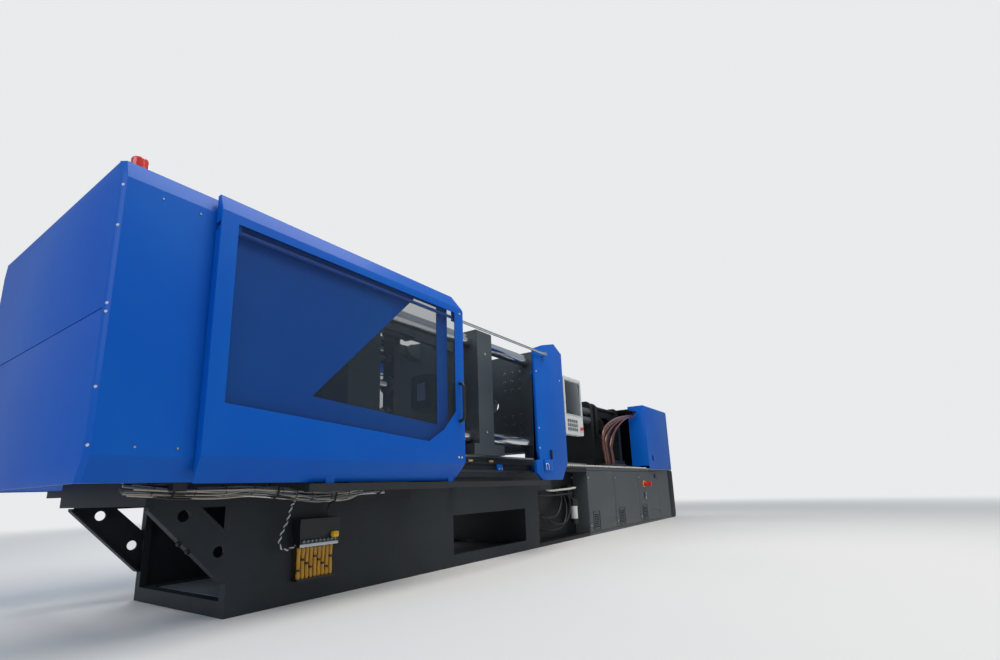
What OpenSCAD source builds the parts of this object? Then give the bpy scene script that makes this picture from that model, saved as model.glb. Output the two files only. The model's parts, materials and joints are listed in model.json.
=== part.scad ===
// Injection moulding machine with a double toggle clamp, +X towards the injection end, operator at -Y.

/* [Layout along the machine] */
// Length of the clamp unit, from the end cover to the mould face of the fixed platen
clamp_l = 4200; // [4100:10:4400]
// Length of the open recess between the clamp bed and the cabinet
recess_l = 1289; // [1100:1:1500]
// Length of the cabinet under the injection unit
cab_l = 3591; // [3400:1:3900]
// Length of the black end post behind the cabinet
end_l = 328; // [200:1:400]

/* [Clamp] */
// Height of the machine's centre line above the floor
axis_z = 1605; // [1590:1:1650]
// Distance between the tie-bar axes, both ways
tie_pitch = 945; // [930:5:960]
// Diameter of a tie bar
tie_d = 125; // [115:5:130]
// Space between the two mould faces with the toggle locked
daylight = 856; // [820:1:900]
// Metal outside each tie bar, out to the platen's side
platen_rim = 60; // [50:1:80]
// How much lower and higher than their half width the platens end
platen_trim = 20; // [10:1:40]
// Thickness of the moving platen
moving_t = 244; // [220:1:260]
// Thickness of the fixed platen
fixed_t = 300; // [280:5:340]
// Thickness of the tail stock
tail_t = 300; // [260:5:340]
// Length of each long toggle link between its pins
link_l = 420; // [400:5:430]
// Angle the links swing when the mould opens
fold_deg = 70; // [60:1:72]
// Distance from the machine's axis to the toggle's outer pins
pin_h = 470; // [460:1:480]
// Distance from a tail pin to the crosshead link's pin on the rear link
cross_r = 200; // [190:1:210]
// Diameter of the main toggle pins
pin_d = 80; // [70:2:84]
// Diameter of the clamp cylinder's piston rod
rod_d = 90; // [80:2:100]

/* [Bed] */
// Width of the bed over its side plates
bed_w = 1114; // [1090:2:1140]
// Height of the bed's side panels
side_h = 600; // [590:1:620]
// Height of the beams that carry the ways
beam_z = 930; // [920:1:940]
// Gap between the end cover and the bed's open end
bed_inset = 803; // [760:1:820]
// Length of the parts discharge opening
chute_l = 1180; // [1000:10:1200]

/* [Covers] */
// Thickness of the sheet-metal covers
sheet_t = 4; // [3:0.5:6]
// Width of the machine over its fixed covers
cover_w = 1880; // [1860:2:1920]
// Height of the fixed covers
cover_z = 2164; // [2150:1:2200]
// Length of the fixed covers at the clamp end
cover_l = 2232; // [2200:1:2260]
// How far the end panel stands out past the side covers
end_out = 8; // [4:1:14]
// Length of a sliding door
door_l = 1955; // [1930:1:1980]
// Depth that a sliding door stands out from the fixed cover
door_out = 62; // [60:1:70]
// Travel of a sliding door
door_travel = 1300; // [1200:10:1320]
// Length of the cover beside the fixed platen
post_l = 612; // [600:2:650]

/* [Injection unit] */
// Diameter of the screw
screw_d = 70; // [60:1:75]
// Length of the barrel
barrel_l = 1650; // [1600:10:1700]
// Travel of the carriage towards the mould
carriage_travel = 450; // [400:10:450]
// Travel of the screw in the barrel
screw_travel = 350; // [300:10:360]
// Height of the cover at the injection end
inj_cover_z = 1980; // [1950:1:2000]

/* [Cabinet] */
// Height of the cabinet
cab_z = 864; // [850:1:880]
// Thickness of a cabinet door
door_t = 20; // [16:1:25]

/* [Hidden] */
$fn = 48;

// Clearances: running fit of a bore, gap between two moving faces, a soft piece's seat, a seam in the covers
run_gap = 0.05;
face_gap = 1;
seat_gap = 0.3;
seam_gap = 2;

// How far welded pieces of one node reach into each other
weld = 1;

// Places along the machine
overall_l = end_out + clamp_l + recess_l + cab_l + end_l;
left = end_out - overall_l / 2;
fixed_x = left + clamp_l;
mould_x = fixed_x - daylight;
platen_x = mould_x - moving_t;
lug_l = 120;
pin_b_x = platen_x - lug_l;
pin_a_x = pin_b_x - 2 * link_l;
tail_lug_l = 290;
tail_x = pin_a_x - tail_lug_l;
tail_back = tail_x - tail_t;
bed_x = left + bed_inset;
bed_end = fixed_x - 2;
beam_end = fixed_x + fixed_t + 20;
cab_x = fixed_x + recess_l;
cab_end = cab_x + cab_l;

// Heights
way_t = 20;
way_z = beam_z + way_t;
platen_w = tie_pitch + tie_d + 2 * platen_rim;
half_platen = platen_w / 2;
platen_low = axis_z - half_platen + platen_trim;
foot_in = 5;
half_bed = bed_w / 2;
half_cover = cover_w / 2;
bore_r = tie_d / 2 + run_gap;

// Bed: base rails, side plates, box beams above them and the opening under the mould
base_h = 85;
side_t = 25;
beam_in = 157;
ledge_x = left + 2280;
chute_x = left + 2740;

// Bolt pattern of a mould face: four groups of three by three threaded holes
hole_pitch = 105;
hole_r = 10;
hole_deep = 45;
hole_off = 280;

// Ejector on the back of the moving platen
ejector_r = 30;
ejector_l = 170;
ejector_wall = 8;
ejector_plate_t = 25;
ejector_hw = 130;
ejector_hh = 170;

// Toggle: places of the links across the machine, measured from the middle
pin_r = pin_d / 2;
link_hw = 56;
inner_y = 150;
plate_w = 35;
gap_y = 5;
front_y = inner_y + plate_w + gap_y * 2;
front_w = 50;
outer_y = front_y + front_w + gap_y * 2;
lug_y = inner_y + plate_w + gap_y;
lug_w = front_w + 2 * gap_y;
cross_w = 30;
cross_y = inner_y - cross_w - gap_y;
cross_deg = 8;
cross_pin_r = 22;
cross_dx = 2 * cross_r * cos(cross_deg);
knee_x = pin_a_x + link_l;
crosshead_x = pin_a_x + cross_dx;
crosshead_t = 80;
crosshead_hw = 70;
guide_h = 250;
guide_r = 25;
cross_travel = cross_dx - 2 * cross_r * cos(cross_deg + fold_deg);
rod_r = rod_d / 2;
cyl_r = 130;
cyl_bore_r = 100;
cyl_back = tail_back - 810;
gland_l = 90;
piston_t = 60;
nut_l = 90;

// Covers
edge_in = 32;
top_bevel = 92;
low_z = 820;
cover_bottom = 711;
cover_in = 65;
floor_in = 55;
roof_in = 120;
strip_in = 26;
strip_l = 10;
rim_deep = end_out + strip_l;
flange_w = 60;
seam_z = 1446;
beacon_x = left + 78;
door_face = half_cover + door_out;
door_back = half_cover + 5;
door_x = left + 405;
door_top = 2166;
door_bottom = 702;
door_knee = 826;
guide_z = 1990;
guide_rod_r = 12;
guide_y = half_cover + 32;
bracket_hw = 16;
rod_end = left + 3795;
hanger_l = 60;
rail_y = half_cover + 15;
rail_z = 650;
rail_w = 50;
rail_h = 45;
rail_x = left + 1000;
rail_end = left + 3700;
tongue_t = 8;
beam_h = 145;
beam_w = 40;
outrigger_z = 670;
post_x = left + 3600;
post_face = half_cover;
post_deep = 28;
arm_t = 60;
arm_z = 815;

// Windows, as distances from the left edge of the covers and heights
cover_window = [[1018, 1190], [2105, 1115], [2105, 2040], [1860, 2040]];
door_window = [[493, 1082], [1946, 978], [2112, 1074], [2251, 1222], [2251, 2022], [493, 2023]];
window_mid = [1300, 1500];
glass_lap = 18;
glass_t = 5;

// Injection unit
deck_z = cab_z + 33;
nozzle_x = fixed_x + carriage_travel;
nozzle_l = 200;
barrel_x = nozzle_x + nozzle_l;
barrel_r = 80;
barrel_end = barrel_x + barrel_l;
screw_r = screw_d / 2;
screw_bore = screw_r + run_gap;
carriage_plate_t = 100;
carriage_x = barrel_end - 140;
carriage_hw = 290;
drive_x = barrel_end + 60;
drive_t = 100;
motor_l = 580;
rear_plate_x = drive_x + drive_t + screw_travel + 430;
bar_r = 30;
bar_off = 220;
feed_x = barrel_end - 275;
throat_r = 28;
seat_r = 45;
seat_deep = 40;
feed_top = axis_z + 230;
hose_plate_z = axis_z + 241;
hose_plate_t = 18;
cyl_y = carriage_hw - 55;
cyl_l = 560;
traverse_r = 22;
traverse_z = axis_z - 5;
rail_hw = 240;
rail_top = deck_z + 50;
inj_x = cab_x + 2475;
inj_l = 1268;
inj_hw = 600;
inj_low = 870;

// Hoses from the carriage down to the deck: distance from the cover, share of the fan-out, height
hose_pts = [[-100, 0, 1800], [-130, 0, 1780], [-320, 0.1, 1770], [-640, 0.3, 1725], [-930, 0.7, 1630],
    [-1120, 1, 1470], [-1200, 1, 1300], [-1190, 1, 1150], [-1160, 1, 1040], [-1150, 1, 980]];
hose_r = 17;
hose_pitch = 40;
hose_fan = 50;
hose_foot = 940;

// Operator terminal, its swivel arm and the stop button
term_x = fixed_x + 100;
term_w = 455;
term_y = -half_cover + 40;
term_low = 1200;
term_h = 665;
term_t = 75;
stop_r = 16;
stop_x = term_x + term_w - 70;
stop_z = term_low + 80;
swivel_x = fixed_x + 135;
swivel_y = term_y + term_t + 40;
swivel_z = 1540;
swivel_r = 15;
arm_r = 30;
arm_h = 40;

// Water-flow controller, as distances from the left edge of the covers
flow_x = 1190;
flow_pitch = 29;
flow_n = 9;

// Cables under the cover's edge, and their tail down to the flow controller
loom_pts = [[250, -770, 640], [390, -745, 636], [760, -750, 622], [1100, -740, 634], [1330, -745, 636],
    [1700, -750, 620], [1950, -740, 632], [cover_l - 36, -745, 636]];
loom_r = 12;
loom_pitch = 26;
tail_pts = [[1300, -700, 632], [1262, -700, 600], [1215, -668, 520], [1175, -650, 430], [1172, -640, 370],
    [1188, -610, 345]];

// Hoses in the recess, as distances from the mould face of the fixed platen
valve_pts = [[260, -368, 300], [260, -400, 300], [340, -450, 285], [600, -450, 300], [740, -440, 400],
    [800, -420, 510], [800, -395, 560], [800, -368, 560]];
feed_pts = [[120, -368, 560], [120, -400, 560], [180, -440, 550], [420, -470, 535], [800, -470, 540],
    [1000, -462, 545], [1080, -440, 545], [1080, -400, 545]];

// Cabinet doors: where each starts, from the cabinet's left end
door_at = [10, 931, 1951, 2961];
door_gap = 6;
door_low = 40;
door_high = 824;
switch_x = cab_x + 2228;
switch_z = 630;

// Straight helpers
module mirrored() {
    children();
    mirror([0, 1, 0]) children();
}

// Block from its lowest corner to its highest
module block(a, b) {
    translate(a) cube(b - a);
}

// Round bar along X, Y or Z
module bar_x(x0, x1, y, z, r) {
    translate([x0, y, z]) rotate([0, 90, 0]) cylinder(h = x1 - x0, r = r);
}

module bar_y(x, y0, y1, z, r) {
    translate([x, y1, z]) rotate([90, 0, 0]) cylinder(h = y1 - y0, r = r);
}

module bar_z(x, y, z0, z1, r) {
    translate([x, y, z0]) cylinder(h = z1 - z0, r = r);
}

// Section drawn in Y and Z, pulled along X
module pull_x(x0, x1, points) {
    translate([x0, 0, 0]) rotate([90, 0, 90]) linear_extrude(height = x1 - x0) polygon(points);
}

// Outline drawn in X and Z, pulled along Y
module pull_y(y0, y1, points) {
    translate([0, y1, 0]) rotate([90, 0, 0]) linear_extrude(height = y1 - y0) polygon(points);
}

// Folded sheet: an open line given a thickness on its left
function unit(v) = v / norm(v);
function left_of(a, b) = [-unit(b - a)[1], unit(b - a)[0]];
function miter(p, i) = let(last = len(p) - 1,
    n1 = left_of(p[max(i - 1, 0)], p[max(i, 1)]),
    n2 = left_of(p[min(i, last - 1)], p[min(i + 1, last)])) (n1 + n2) / (1 + n1 * n2);
function band(p, t) = concat(p, [for (i = [len(p) - 1:-1:0]) p[i] + t * miter(p, i)]);

// Hose or cable: rings of corners carried along a list of points without twist, closed at both ends
function heading(p, i) = unit(p[min(i + 1, len(p) - 1)] - p[max(i - 1, 0)]);
function carried(u, t) = unit(u - (u * t) * t);
function ring(c, t, u, r, n) = [for (k = [0:n - 1])
    c + r * (cos(360 * k / n) * u + sin(360 * k / n) * cross(t, u))];
module sweep(p, r, n = 8, side = [0, 1, 0]) {
    last = len(p) - 1;
    points = [for (i = 0, u = carried(side, heading(p, 0)); i <= last;
        i = i + 1, u = carried(u, heading(p, min(i, last)))) each ring(p[i], heading(p, i), u, r, n)];
    sides = [for (i = [0:last - 1]) for (k = [0:n - 1])
        [i * n + k, (i + 1) * n + k, (i + 1) * n + (k + 1) % n, i * n + (k + 1) % n]];
    start = [[for (k = [0:n - 1]) k]];
    end = [[for (k = [n - 1:-1:0]) last * n + k]];
    polyhedron(points = points, faces = concat(start, sides, end), convexity = 4);
}

// Smooth points between hand-set ones
function spline(p, i, t) = let(a = p[max(i - 1, 0)], b = p[i], c = p[i + 1], d = p[min(i + 2, len(p) - 1)])
    0.5 * (2 * b + (c - a) * t + (2 * a - 5 * b + 4 * c - d) * t * t + (3 * b - a - 3 * c + d) * t * t * t);
function smooth(p, steps) = concat([for (i = [0:len(p) - 2]) for (s = [0:steps - 1])
    spline(p, i, s / steps)], [p[len(p) - 1]]);

// Bed of the clamp unit: welded side frames, open at the end and under the mould
module clamp_bed() {
    color("#26292c") {
        difference() {
            mirrored() {
                block([bed_x, half_bed - 120, 0], [bed_end, half_bed, base_h]);
                block([bed_x, half_bed - side_t, base_h - weld], [bed_end, half_bed, side_h + weld]);
                block([bed_x, half_bed - beam_in, side_h], [beam_end, half_bed, beam_z]);
            }
            block([chute_x, -half_bed - 1, 95], [chute_x + chute_l, half_bed + 1, 420]);
            mirrored() block([bed_x + 30, half_bed - beam_in + 20, side_h + 20],
                [beam_end - 30, half_bed - 20, beam_z - 20]);
        }
        cross_members();
        mirrored() end_bracket();
        mirrored() bed_ledges();
    }
}

// Floor, cross plates and upright stiffeners between the side plates
module cross_members() {
    inner = half_bed - side_t + weld;
    floor_hw = half_bed - 120 + weld;
    block([bed_x, -floor_hw, 0], [bed_x + 60, floor_hw, base_h]);
    block([bed_x + 60 - weld, -floor_hw, 40], [bed_end, floor_hw, 60]);
    for (x = [chute_x - 20, chute_x + chute_l, bed_end - 20])
        block([x, -inner, base_h - weld], [x + 20, inner, side_h]);
    block([bed_x + 500, -inner, side_h - 20], [chute_x - 20 + weld, inner, side_h]);
    mirrored() for (x = [bed_x, chute_x - 60, chute_x + chute_l])
        block([x, half_bed - 60, base_h - weld], [x + 40, half_bed, side_h + weld]);
}

// Cantilever plate that carries the covers past the open end
module end_bracket() {
    tip_x = bed_x - 410;
    difference() {
        pull_y(half_bed - 15, half_bed, [[tip_x, side_h], [tip_x, side_h - 8],
            [bed_x - 20, 190], [bed_x + weld, 190], [bed_x + weld, side_h]]);
        pull_y(half_bed - 16, half_bed + 1, [[bed_x - 158, side_h - 12],
            [bed_x, side_h - 12 - 150], [bed_x, side_h - 12]]);
        bar_y(bed_x - 245, half_bed - 16, half_bed + 1, 549, 30);
        bar_y(bed_x - 50, half_bed - 16, half_bed + 1, 350, 30);
    }
    pull_y(half_bed - 60, half_bed, band([[bed_x + weld, 182], [bed_x - 20, 182],
        [tip_x, side_h - 16], [tip_x, side_h]], -10));
}

// Folded ledges on the outside of the beams
module bed_ledges() {
    pull_x(ledge_x, bed_end, band([[half_bed - weld, 742], [half_bed + 45, 742], [half_bed + 45, 790],
        [half_bed + 20, 812], [half_bed - weld, 812]], 5));
    block([ledge_x, half_bed - weld, 868], [bed_end, half_bed + 18, 884]);
}

module clamp_ways() {
    color("silver") mirrored()
        block([left + 1480, half_bed - 147, beam_z], [bed_end - 20, half_bed - 17, way_z]);
}

// Beams and outriggers under the fixed covers
module cover_beams() {
    reach = half_cover - cover_in - 8;
    low = side_h + 6;
    tip_x = bed_x - 443;
    color("#202326") {
        mirrored() block([tip_x, half_bed, low], [left + cover_l - 4, half_bed + beam_w, low + beam_h]);
        block([tip_x, -half_bed - weld, low], [tip_x + 60, half_bed + weld, low + beam_h]);
        mirrored() block([tip_x + 60 - weld, half_bed - 60, side_h], [bed_x, half_bed, low + beam_h]);
        mirrored() block([tip_x + 60, half_bed - weld, low], [bed_x - 1, half_bed + weld, low + beam_h]);
        mirrored() for (x = [tip_x, left + 1300, left + cover_l - 64])
            block([x, half_bed + beam_w - weld, outrigger_z], [x + 60, reach, cover_bottom]);
    }
}

// Threaded holes for the mould's clamps, four groups on each mould face
module face_holes(x, dir) {
    for (sy = [-1, 1]) for (sz = [-1, 1]) for (i = [-1:1]) for (j = [-1:1])
        translate([x - dir, sy * hole_off + i * hole_pitch, axis_z + sz * (hole_off - 20) + j * hole_pitch])
            rotate([0, 90 * dir, 0]) cylinder(h = hole_deep + 1, r = hole_r, $fn = 16);
}

// Plate with cut corners and a bore for each tie bar
module platen_plate(x0, x1, corner) {
    h = half_platen - platen_trim;
    w = half_platen;
    difference() {
        pull_x(x0, x1, [[-w + corner, axis_z - h], [w - corner, axis_z - h], [w, axis_z - h + corner],
            [w, axis_z + h - corner], [w - corner, axis_z + h], [-w + corner, axis_z + h],
            [-w, axis_z + h - corner], [-w, axis_z - h + corner]]);
        for (sy = [-1, 1]) for (sz = [-1, 1])
            bar_x(x0 - 1, x1 + 1, sy * tie_pitch / 2, axis_z + sz * tie_pitch / 2, bore_r);
    }
}

module fixed_platen() {
    color("#4a5155") {
        difference() {
            platen_plate(fixed_x, fixed_x + fixed_t, 40);
            bar_x(fixed_x - 1, fixed_x + 131, 0, axis_z, 80);
            bar_x(fixed_x + 130, fixed_x + fixed_t + 1, 0, axis_z, 150);
            face_holes(fixed_x, 1);
        }
        mirrored() bar_x(fixed_x + fixed_t - weld, carriage_x - cyl_l + 60, cyl_y, traverse_z, traverse_r);
        mirrored() block([fixed_x + 10, half_bed - 150, beam_z],
            [fixed_x + fixed_t - 10, half_bed, platen_low + foot_in]);
    }
}

module tie_bars() {
    color("#c9ced2") for (sy = [-1, 1]) for (sz = [-1, 1]) {
        bar_x(tail_back - 200, fixed_x + fixed_t + nut_l + 15, sy * tie_pitch / 2, axis_z + sz * tie_pitch / 2, tie_d / 2);
    }
}

// Threaded nut on a tie bar, with spanner slots
module tie_nut(x, sy, sz) {
    y = sy * tie_pitch / 2;
    z = axis_z + sz * tie_pitch / 2;
    nut_r = tie_d * 0.86;
    difference() {
        union() {
            bar_x(x, x + nut_l, y, z, nut_r - 8);
            bar_x(x + 12, x + nut_l - 12, y, z, nut_r);
        }
        bar_x(x - 1, x + nut_l + 1, y, z, bore_r);
        for (k = [0:5]) translate([x, y, z]) rotate([k * 60, 0, 0])
            block([-1, -9, nut_r - 14], [nut_l + 1, 9, nut_r + 1]);
    }
}

module front_nuts() {
    color("#7c8488") for (sy = [-1, 1]) for (sz = [-1, 1]) tie_nut(fixed_x + fixed_t, sy, sz);
}

module rear_nuts() {
    color("#7c8488") for (sy = [-1, 1]) for (sz = [-1, 1]) tie_nut(tail_back - nut_l, sy, sz);
}

// Lug seen from the side: a plate that ends in a round eye about a pin
module lug(root_x, eye_x, z, y0, y1, eye_r, root_h) {
    bar_y(eye_x, y0, y1, z, eye_r);
    side = root_x < eye_x ? 1 : -1;
    x = root_x - side * weld;
    pull_y(y0, y1, side > 0 ?
        [[x, z - root_h], [eye_x, z - eye_r], [eye_x, z + eye_r], [x, z + root_h]] :
        [[eye_x, z - eye_r], [x, z - root_h], [x, z + root_h], [eye_x, z + eye_r]]);
}

module tail_stock() {
    eye_r = link_hw + 6;
    color("#4a5155") {
        difference() {
            platen_plate(tail_back, tail_x, 60);
            bar_x(tail_back - 1, tail_x + 1, 0, axis_z, rod_r + 30);
        }
        mirrored() for (s = [-1, 1])
            lug(tail_x, pin_a_x, axis_z + s * pin_h, lug_y + face_gap, lug_y + lug_w - face_gap, eye_r, 80);
        mirrored() block([tail_back + 10, half_bed - 147, way_z], [tail_x + 40, half_bed - 17, platen_low + foot_in]);
    }
    color("silver") {
        mirrored() for (s = [-1, 1])
            bar_y(pin_a_x, inner_y - 3, outer_y + plate_w + 4, axis_z + s * pin_h, pin_r);
        for (s = [-1, 1])
            bar_x(tail_x - weld, crosshead_x - 20, 0, axis_z + s * guide_h, guide_r);
    }
}

// Flat link with an eye at each end
module link(x0, z0, x1, z1, y0, y1, hw, r0, r1) {
    d = [x1 - x0, z1 - z0];
    n = [-d[1], d[0]] / norm(d) * hw * 0.82;
    difference() {
        union() {
            bar_y(x0, y0, y1, z0, hw);
            bar_y(x1, y0, y1, z1, hw);
            pull_y(y0, y1, [[x0, z0] - n, [x1, z1] - n, [x1, z1] + n, [x0, z0] + n]);
        }
        if (r0 > 0) bar_y(x0, y0 - 1, y1 + 1, z0, r0 + run_gap);
        if (r1 > 0) bar_y(x1, y0 - 1, y1 + 1, z1, r1 + run_gap);
    }
}

// Rear link pair: two plates a side, the knee pin and the crosshead link's pin; s is +1 above, -1 below
module rear_link(s) {
    z = axis_z + s * pin_h;
    cx = pin_a_x + cross_r * cos(cross_deg);
    cz = z - s * cross_r * sin(cross_deg);
    mirrored() {
        link(pin_a_x, z, knee_x, z, inner_y, inner_y + plate_w, link_hw, pin_r, 0);
        link(pin_a_x, z, knee_x, z, outer_y, outer_y + plate_w, link_hw, pin_r, 0);
        bar_y(knee_x, inner_y - 3, outer_y + plate_w + 4, z, pin_r - 4);
        bar_y(cx, cross_y - 4, inner_y + 1, cz, cross_pin_r);
    }
}

module rear_link_upper() {
    color("#5a6267") rear_link(1);
}

module rear_link_lower() {
    color("#5a6267") rear_link(-1);
}

module front_link(s) {
    z = axis_z + s * pin_h;
    mirrored() link(knee_x, z, pin_b_x, z, front_y, front_y + front_w, link_hw, pin_r - 4, pin_r);
}

module front_link_upper() {
    color("#6b7378") front_link(1);
}

module front_link_lower() {
    color("#6b7378") front_link(-1);
}

module cross_link(s) {
    z = axis_z + s * pin_h;
    cx = pin_a_x + cross_r * cos(cross_deg);
    cz = z - s * cross_r * sin(cross_deg);
    mirrored() link(cx, cz, crosshead_x, z, cross_y, cross_y + cross_w, 38, cross_pin_r, cross_pin_r);
}

module cross_link_upper() {
    color("#7c8488") cross_link(1);
}

module cross_link_lower() {
    color("#7c8488") cross_link(-1);
}

// Crosshead: a tall yoke on two guide rods, pushed by the piston rod
module crosshead() {
    x0 = crosshead_x - crosshead_t / 2;
    x1 = crosshead_x + crosshead_t / 2;
    color("#5a6267") {
        difference() {
            union() {
                pull_x(x0, x1, [[-crosshead_hw, axis_z - pin_h - 30], [crosshead_hw, axis_z - pin_h - 30],
                    [crosshead_hw, axis_z + pin_h + 30], [-crosshead_hw, axis_z + pin_h + 30]]);
                bar_x(x0 - 30, x0 + 1, 0, axis_z, rod_r + 35);
                for (s = [-1, 1]) bar_x(x0 - 60, x0 + 1, 0, axis_z + s * guide_h, guide_r + 20);
            }
            for (s = [-1, 1]) bar_x(x0 - 61, x1 + 1, 0, axis_z + s * guide_h, guide_r + run_gap);
        }
        mirrored() for (s = [-1, 1])
            bar_y(crosshead_x, crosshead_hw - 1, cross_y + cross_w + 2, axis_z + s * pin_h, cross_pin_r);
    }
}

module clamp_cylinder() {
    color("#34393d") difference() {
        union() {
            bar_x(cyl_back, tail_back, 0, axis_z, cyl_r);
            bar_x(tail_back - 50, tail_back, 0, axis_z, cyl_r + 45);
            bar_x(cyl_back - 20, cyl_back + 60, 0, axis_z, cyl_r + 15);
            for (x = [cyl_back + 100, tail_back - 120]) bar_z(x, 0, axis_z + cyl_r - 10, axis_z + cyl_r + 50, 30);
        }
        bar_x(cyl_back + 60, tail_back - gland_l, 0, axis_z, cyl_bore_r);
        bar_x(tail_back - gland_l - 1, tail_back + 1, 0, axis_z, rod_r + run_gap);
        for (k = [0:7]) translate([0, 0, axis_z]) rotate([k * 45 + 22.5, 0, 0])
            bar_x(tail_back - 62, tail_back - 38, 0, cyl_r + 22, 14);
    }
}

module piston_rod() {
    head_x = crosshead_x - crosshead_t / 2 - 30;
    color("silver") {
        bar_x(tail_back - gland_l - piston_t - 10, head_x, 0, axis_z, rod_r);
        bar_x(tail_back - gland_l - piston_t - 10, tail_back - gland_l - 10, 0, axis_z, cyl_bore_r - 0.5);
    }
}

module moving_platen() {
    eye_r = link_hw + 6;
    shoe_l = 497;
    shoe_x = platen_x - 81;
    color("#4a5155") {
        difference() {
            platen_plate(platen_x, mould_x, 12);
            bar_x(platen_x - 1, mould_x + 1, 0, axis_z, ejector_r + run_gap);
            face_holes(mould_x, -1);
        }
        mirrored() for (s = [-1, 1]) {
            lug(platen_x, pin_b_x, axis_z + s * pin_h, inner_y, inner_y + plate_w, eye_r, 80);
            lug(platen_x, pin_b_x, axis_z + s * pin_h, outer_y, outer_y + plate_w, eye_r, 80);
        }
        mirrored() block([shoe_x, half_bed - 147, way_z + seat_gap], [shoe_x + shoe_l, half_platen, platen_low + 25]);
    }
    color("silver") mirrored() for (s = [-1, 1])
        bar_y(pin_b_x, inner_y - 3, outer_y + plate_w + 4, axis_z + s * pin_h, pin_r);
}

module ejector_housing() {
    x0 = platen_x - ejector_l;
    color("#34393d") difference() {
        block([x0, -ejector_hw, axis_z - ejector_hh], [platen_x, ejector_hw, axis_z + ejector_hh]);
        block([x0 + ejector_wall, -ejector_hw + ejector_wall, axis_z - ejector_hh + ejector_wall],
            [platen_x + 1, ejector_hw - ejector_wall, axis_z + ejector_hh - ejector_wall]);
        block([x0 - 1, -60, axis_z - 90], [x0 + ejector_wall + 1, 60, axis_z + 90]);
    }
}

module ejector_plate() {
    x0 = platen_x - ejector_l + ejector_wall;
    color("silver") {
        block([x0, -ejector_hw + ejector_wall + 1, axis_z - ejector_hh + ejector_wall + 1],
            [x0 + ejector_plate_t, ejector_hw - ejector_wall - 1, axis_z + ejector_hh - ejector_wall - 1]);
        bar_x(x0 + ejector_plate_t - weld, mould_x - 10, 0, axis_z, ejector_r);
    }
}

// Side of the covers from bottom to top, moved inwards by an inset, and the same with its two returns
function cover_side(inset) = let(h = half_cover - inset)
    [[h - cover_in, cover_bottom], [h, low_z], [h, cover_z - top_bevel], [h - edge_in, cover_z]];
function cover_line() = concat([[half_cover - cover_in - floor_in, cover_bottom]], cover_side(0),
    [[half_cover - edge_in - roof_in, cover_z]]);
function backwards(p) = [for (i = [len(p) - 1:-1:0]) p[i]];

// Outline of an end panel, cut off below and above
function end_side(inset, z0, z1) = let(h = half_cover - inset)
    concat(z0 < low_z ? [[h - cover_in, z0], [h, low_z]] : [[h, z0]],
        z1 > cover_z - top_bevel ? [[h, cover_z - top_bevel], [h - edge_in, z1]] : [[h, z1]]);
function both_sides(p) = concat(p, [for (q = backwards(p)) [-q[0], q[1]]]);

// End panel: a flat dished sheet, seated on the flanges of the side covers with a seam all round
module end_panel(z0, z1) {
    x = left - end_out;
    inset = strip_in + sheet_t + seam_gap;
    color("#0d5fc4") difference() {
        pull_x(x, x + rim_deep, both_sides(end_side(inset, z0, z1)));
        pull_x(x + sheet_t, x + rim_deep + 1, both_sides(end_side(inset + sheet_t, z0 + sheet_t, z1 - sheet_t)));
    }
}

module end_cover_lower() {
    end_panel(cover_bottom, seam_z - seam_gap);
}

module end_cover_upper() {
    end_panel(seam_z + seam_gap, cover_z - 2 * seam_gap);
}

// Block under one slanted plane of the end strip, along a fold line of the side, moved inwards by an inset
module strip_side(p, q, inset, over) {
    d = q - p;
    slope = strip_in * d[1] / norm(d) / (strip_l + end_out);
    x0 = left - end_out - over;
    x1 = left + strip_l;
    deep = half_cover * (1 + over);
    translate([0, p[0], p[1]]) rotate([-atan2(d[0], d[1]), 0, 0]) translate([0, 0, -2 * cover_z])
        linear_extrude(height = 4 * cover_z) polygon([[x0, slope * (x0 - x1) - inset], [x1, -inset],
            [x1 + weld + over, -inset], [x1 + weld + over, -deep], [x0, -deep]]);
}

module strip_form(inset, over) {
    side = cover_side(0);
    intersection_for (k = [0:2]) strip_side(side[k], side[k + 1], inset, over);
}

// Chamfered strip that narrows the side cover down to the end panel
module end_strip() {
    intersection() {
        difference() {
            strip_form(0, 0);
            strip_form(sheet_t, 1);
        }
        block([left - end_out, half_cover / 2, cover_bottom], [left + strip_l + weld, half_cover + 1, cover_z]);
    }
}

// Side cover: folded sheet, chamfered strip and flange at the end panel, folded edge at the open end
module side_cover() {
    end_x = left + cover_l;
    flange_x = left - end_out + rim_deep;
    pull_x(left + strip_l, end_x, band(cover_line(), sheet_t));
    end_strip();
    pull_x(flange_x, flange_x + sheet_t, concat(cover_side(weld), backwards(cover_side(flange_w))));
    block([end_x - sheet_t, half_cover - 70, low_z], [end_x, half_cover - weld, cover_z - top_bevel]);
}

// The fixed front cover's window leans over the clamp at its left edge
function at_left(p) = [for (q = p) [left + q[0], q[1]]];
function grown(p, d) = let(c = [for (i = [0, 1]) (p[0][i] + p[1][i] + p[2][i] + p[3][i]) / 4])
    [for (q = p) q + d * [sign(q[0] - c[0]), sign(q[1] - c[1])]];
module front_cover() {
    color("#0d6fdc") difference() {
        mirror([0, 1, 0]) side_cover();
        pull_y(-half_cover - 1, -half_cover + sheet_t + 1, at_left(cover_window));
    }
}

module front_cover_window() {
    y = -half_cover + sheet_t;
    color("#3a4750", 0.5) pull_y(y, y + glass_t, grown(at_left(cover_window), glass_lap));
}

module rear_cover() {
    color("#0d5fc4") difference() {
        side_cover();
        for (k = [0:5]) block([left + 400, half_cover - sheet_t - 1, 1000 + k * 60],
            [left + 1000, half_cover + 1, 1020 + k * 60]);
    }
}

// Roof strip at the end that joins both side covers
module roof_strip() {
    hw = half_cover - edge_in - 20;
    top = cover_z - sheet_t;
    color("#0d5fc4") pull_x(left - end_out + rim_deep + sheet_t, left + 190,
        band([[-hw, top - sheet_t - 30], [-hw, top], [hw, top], [hw, top - sheet_t - 30]], -sheet_t));
}

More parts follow.
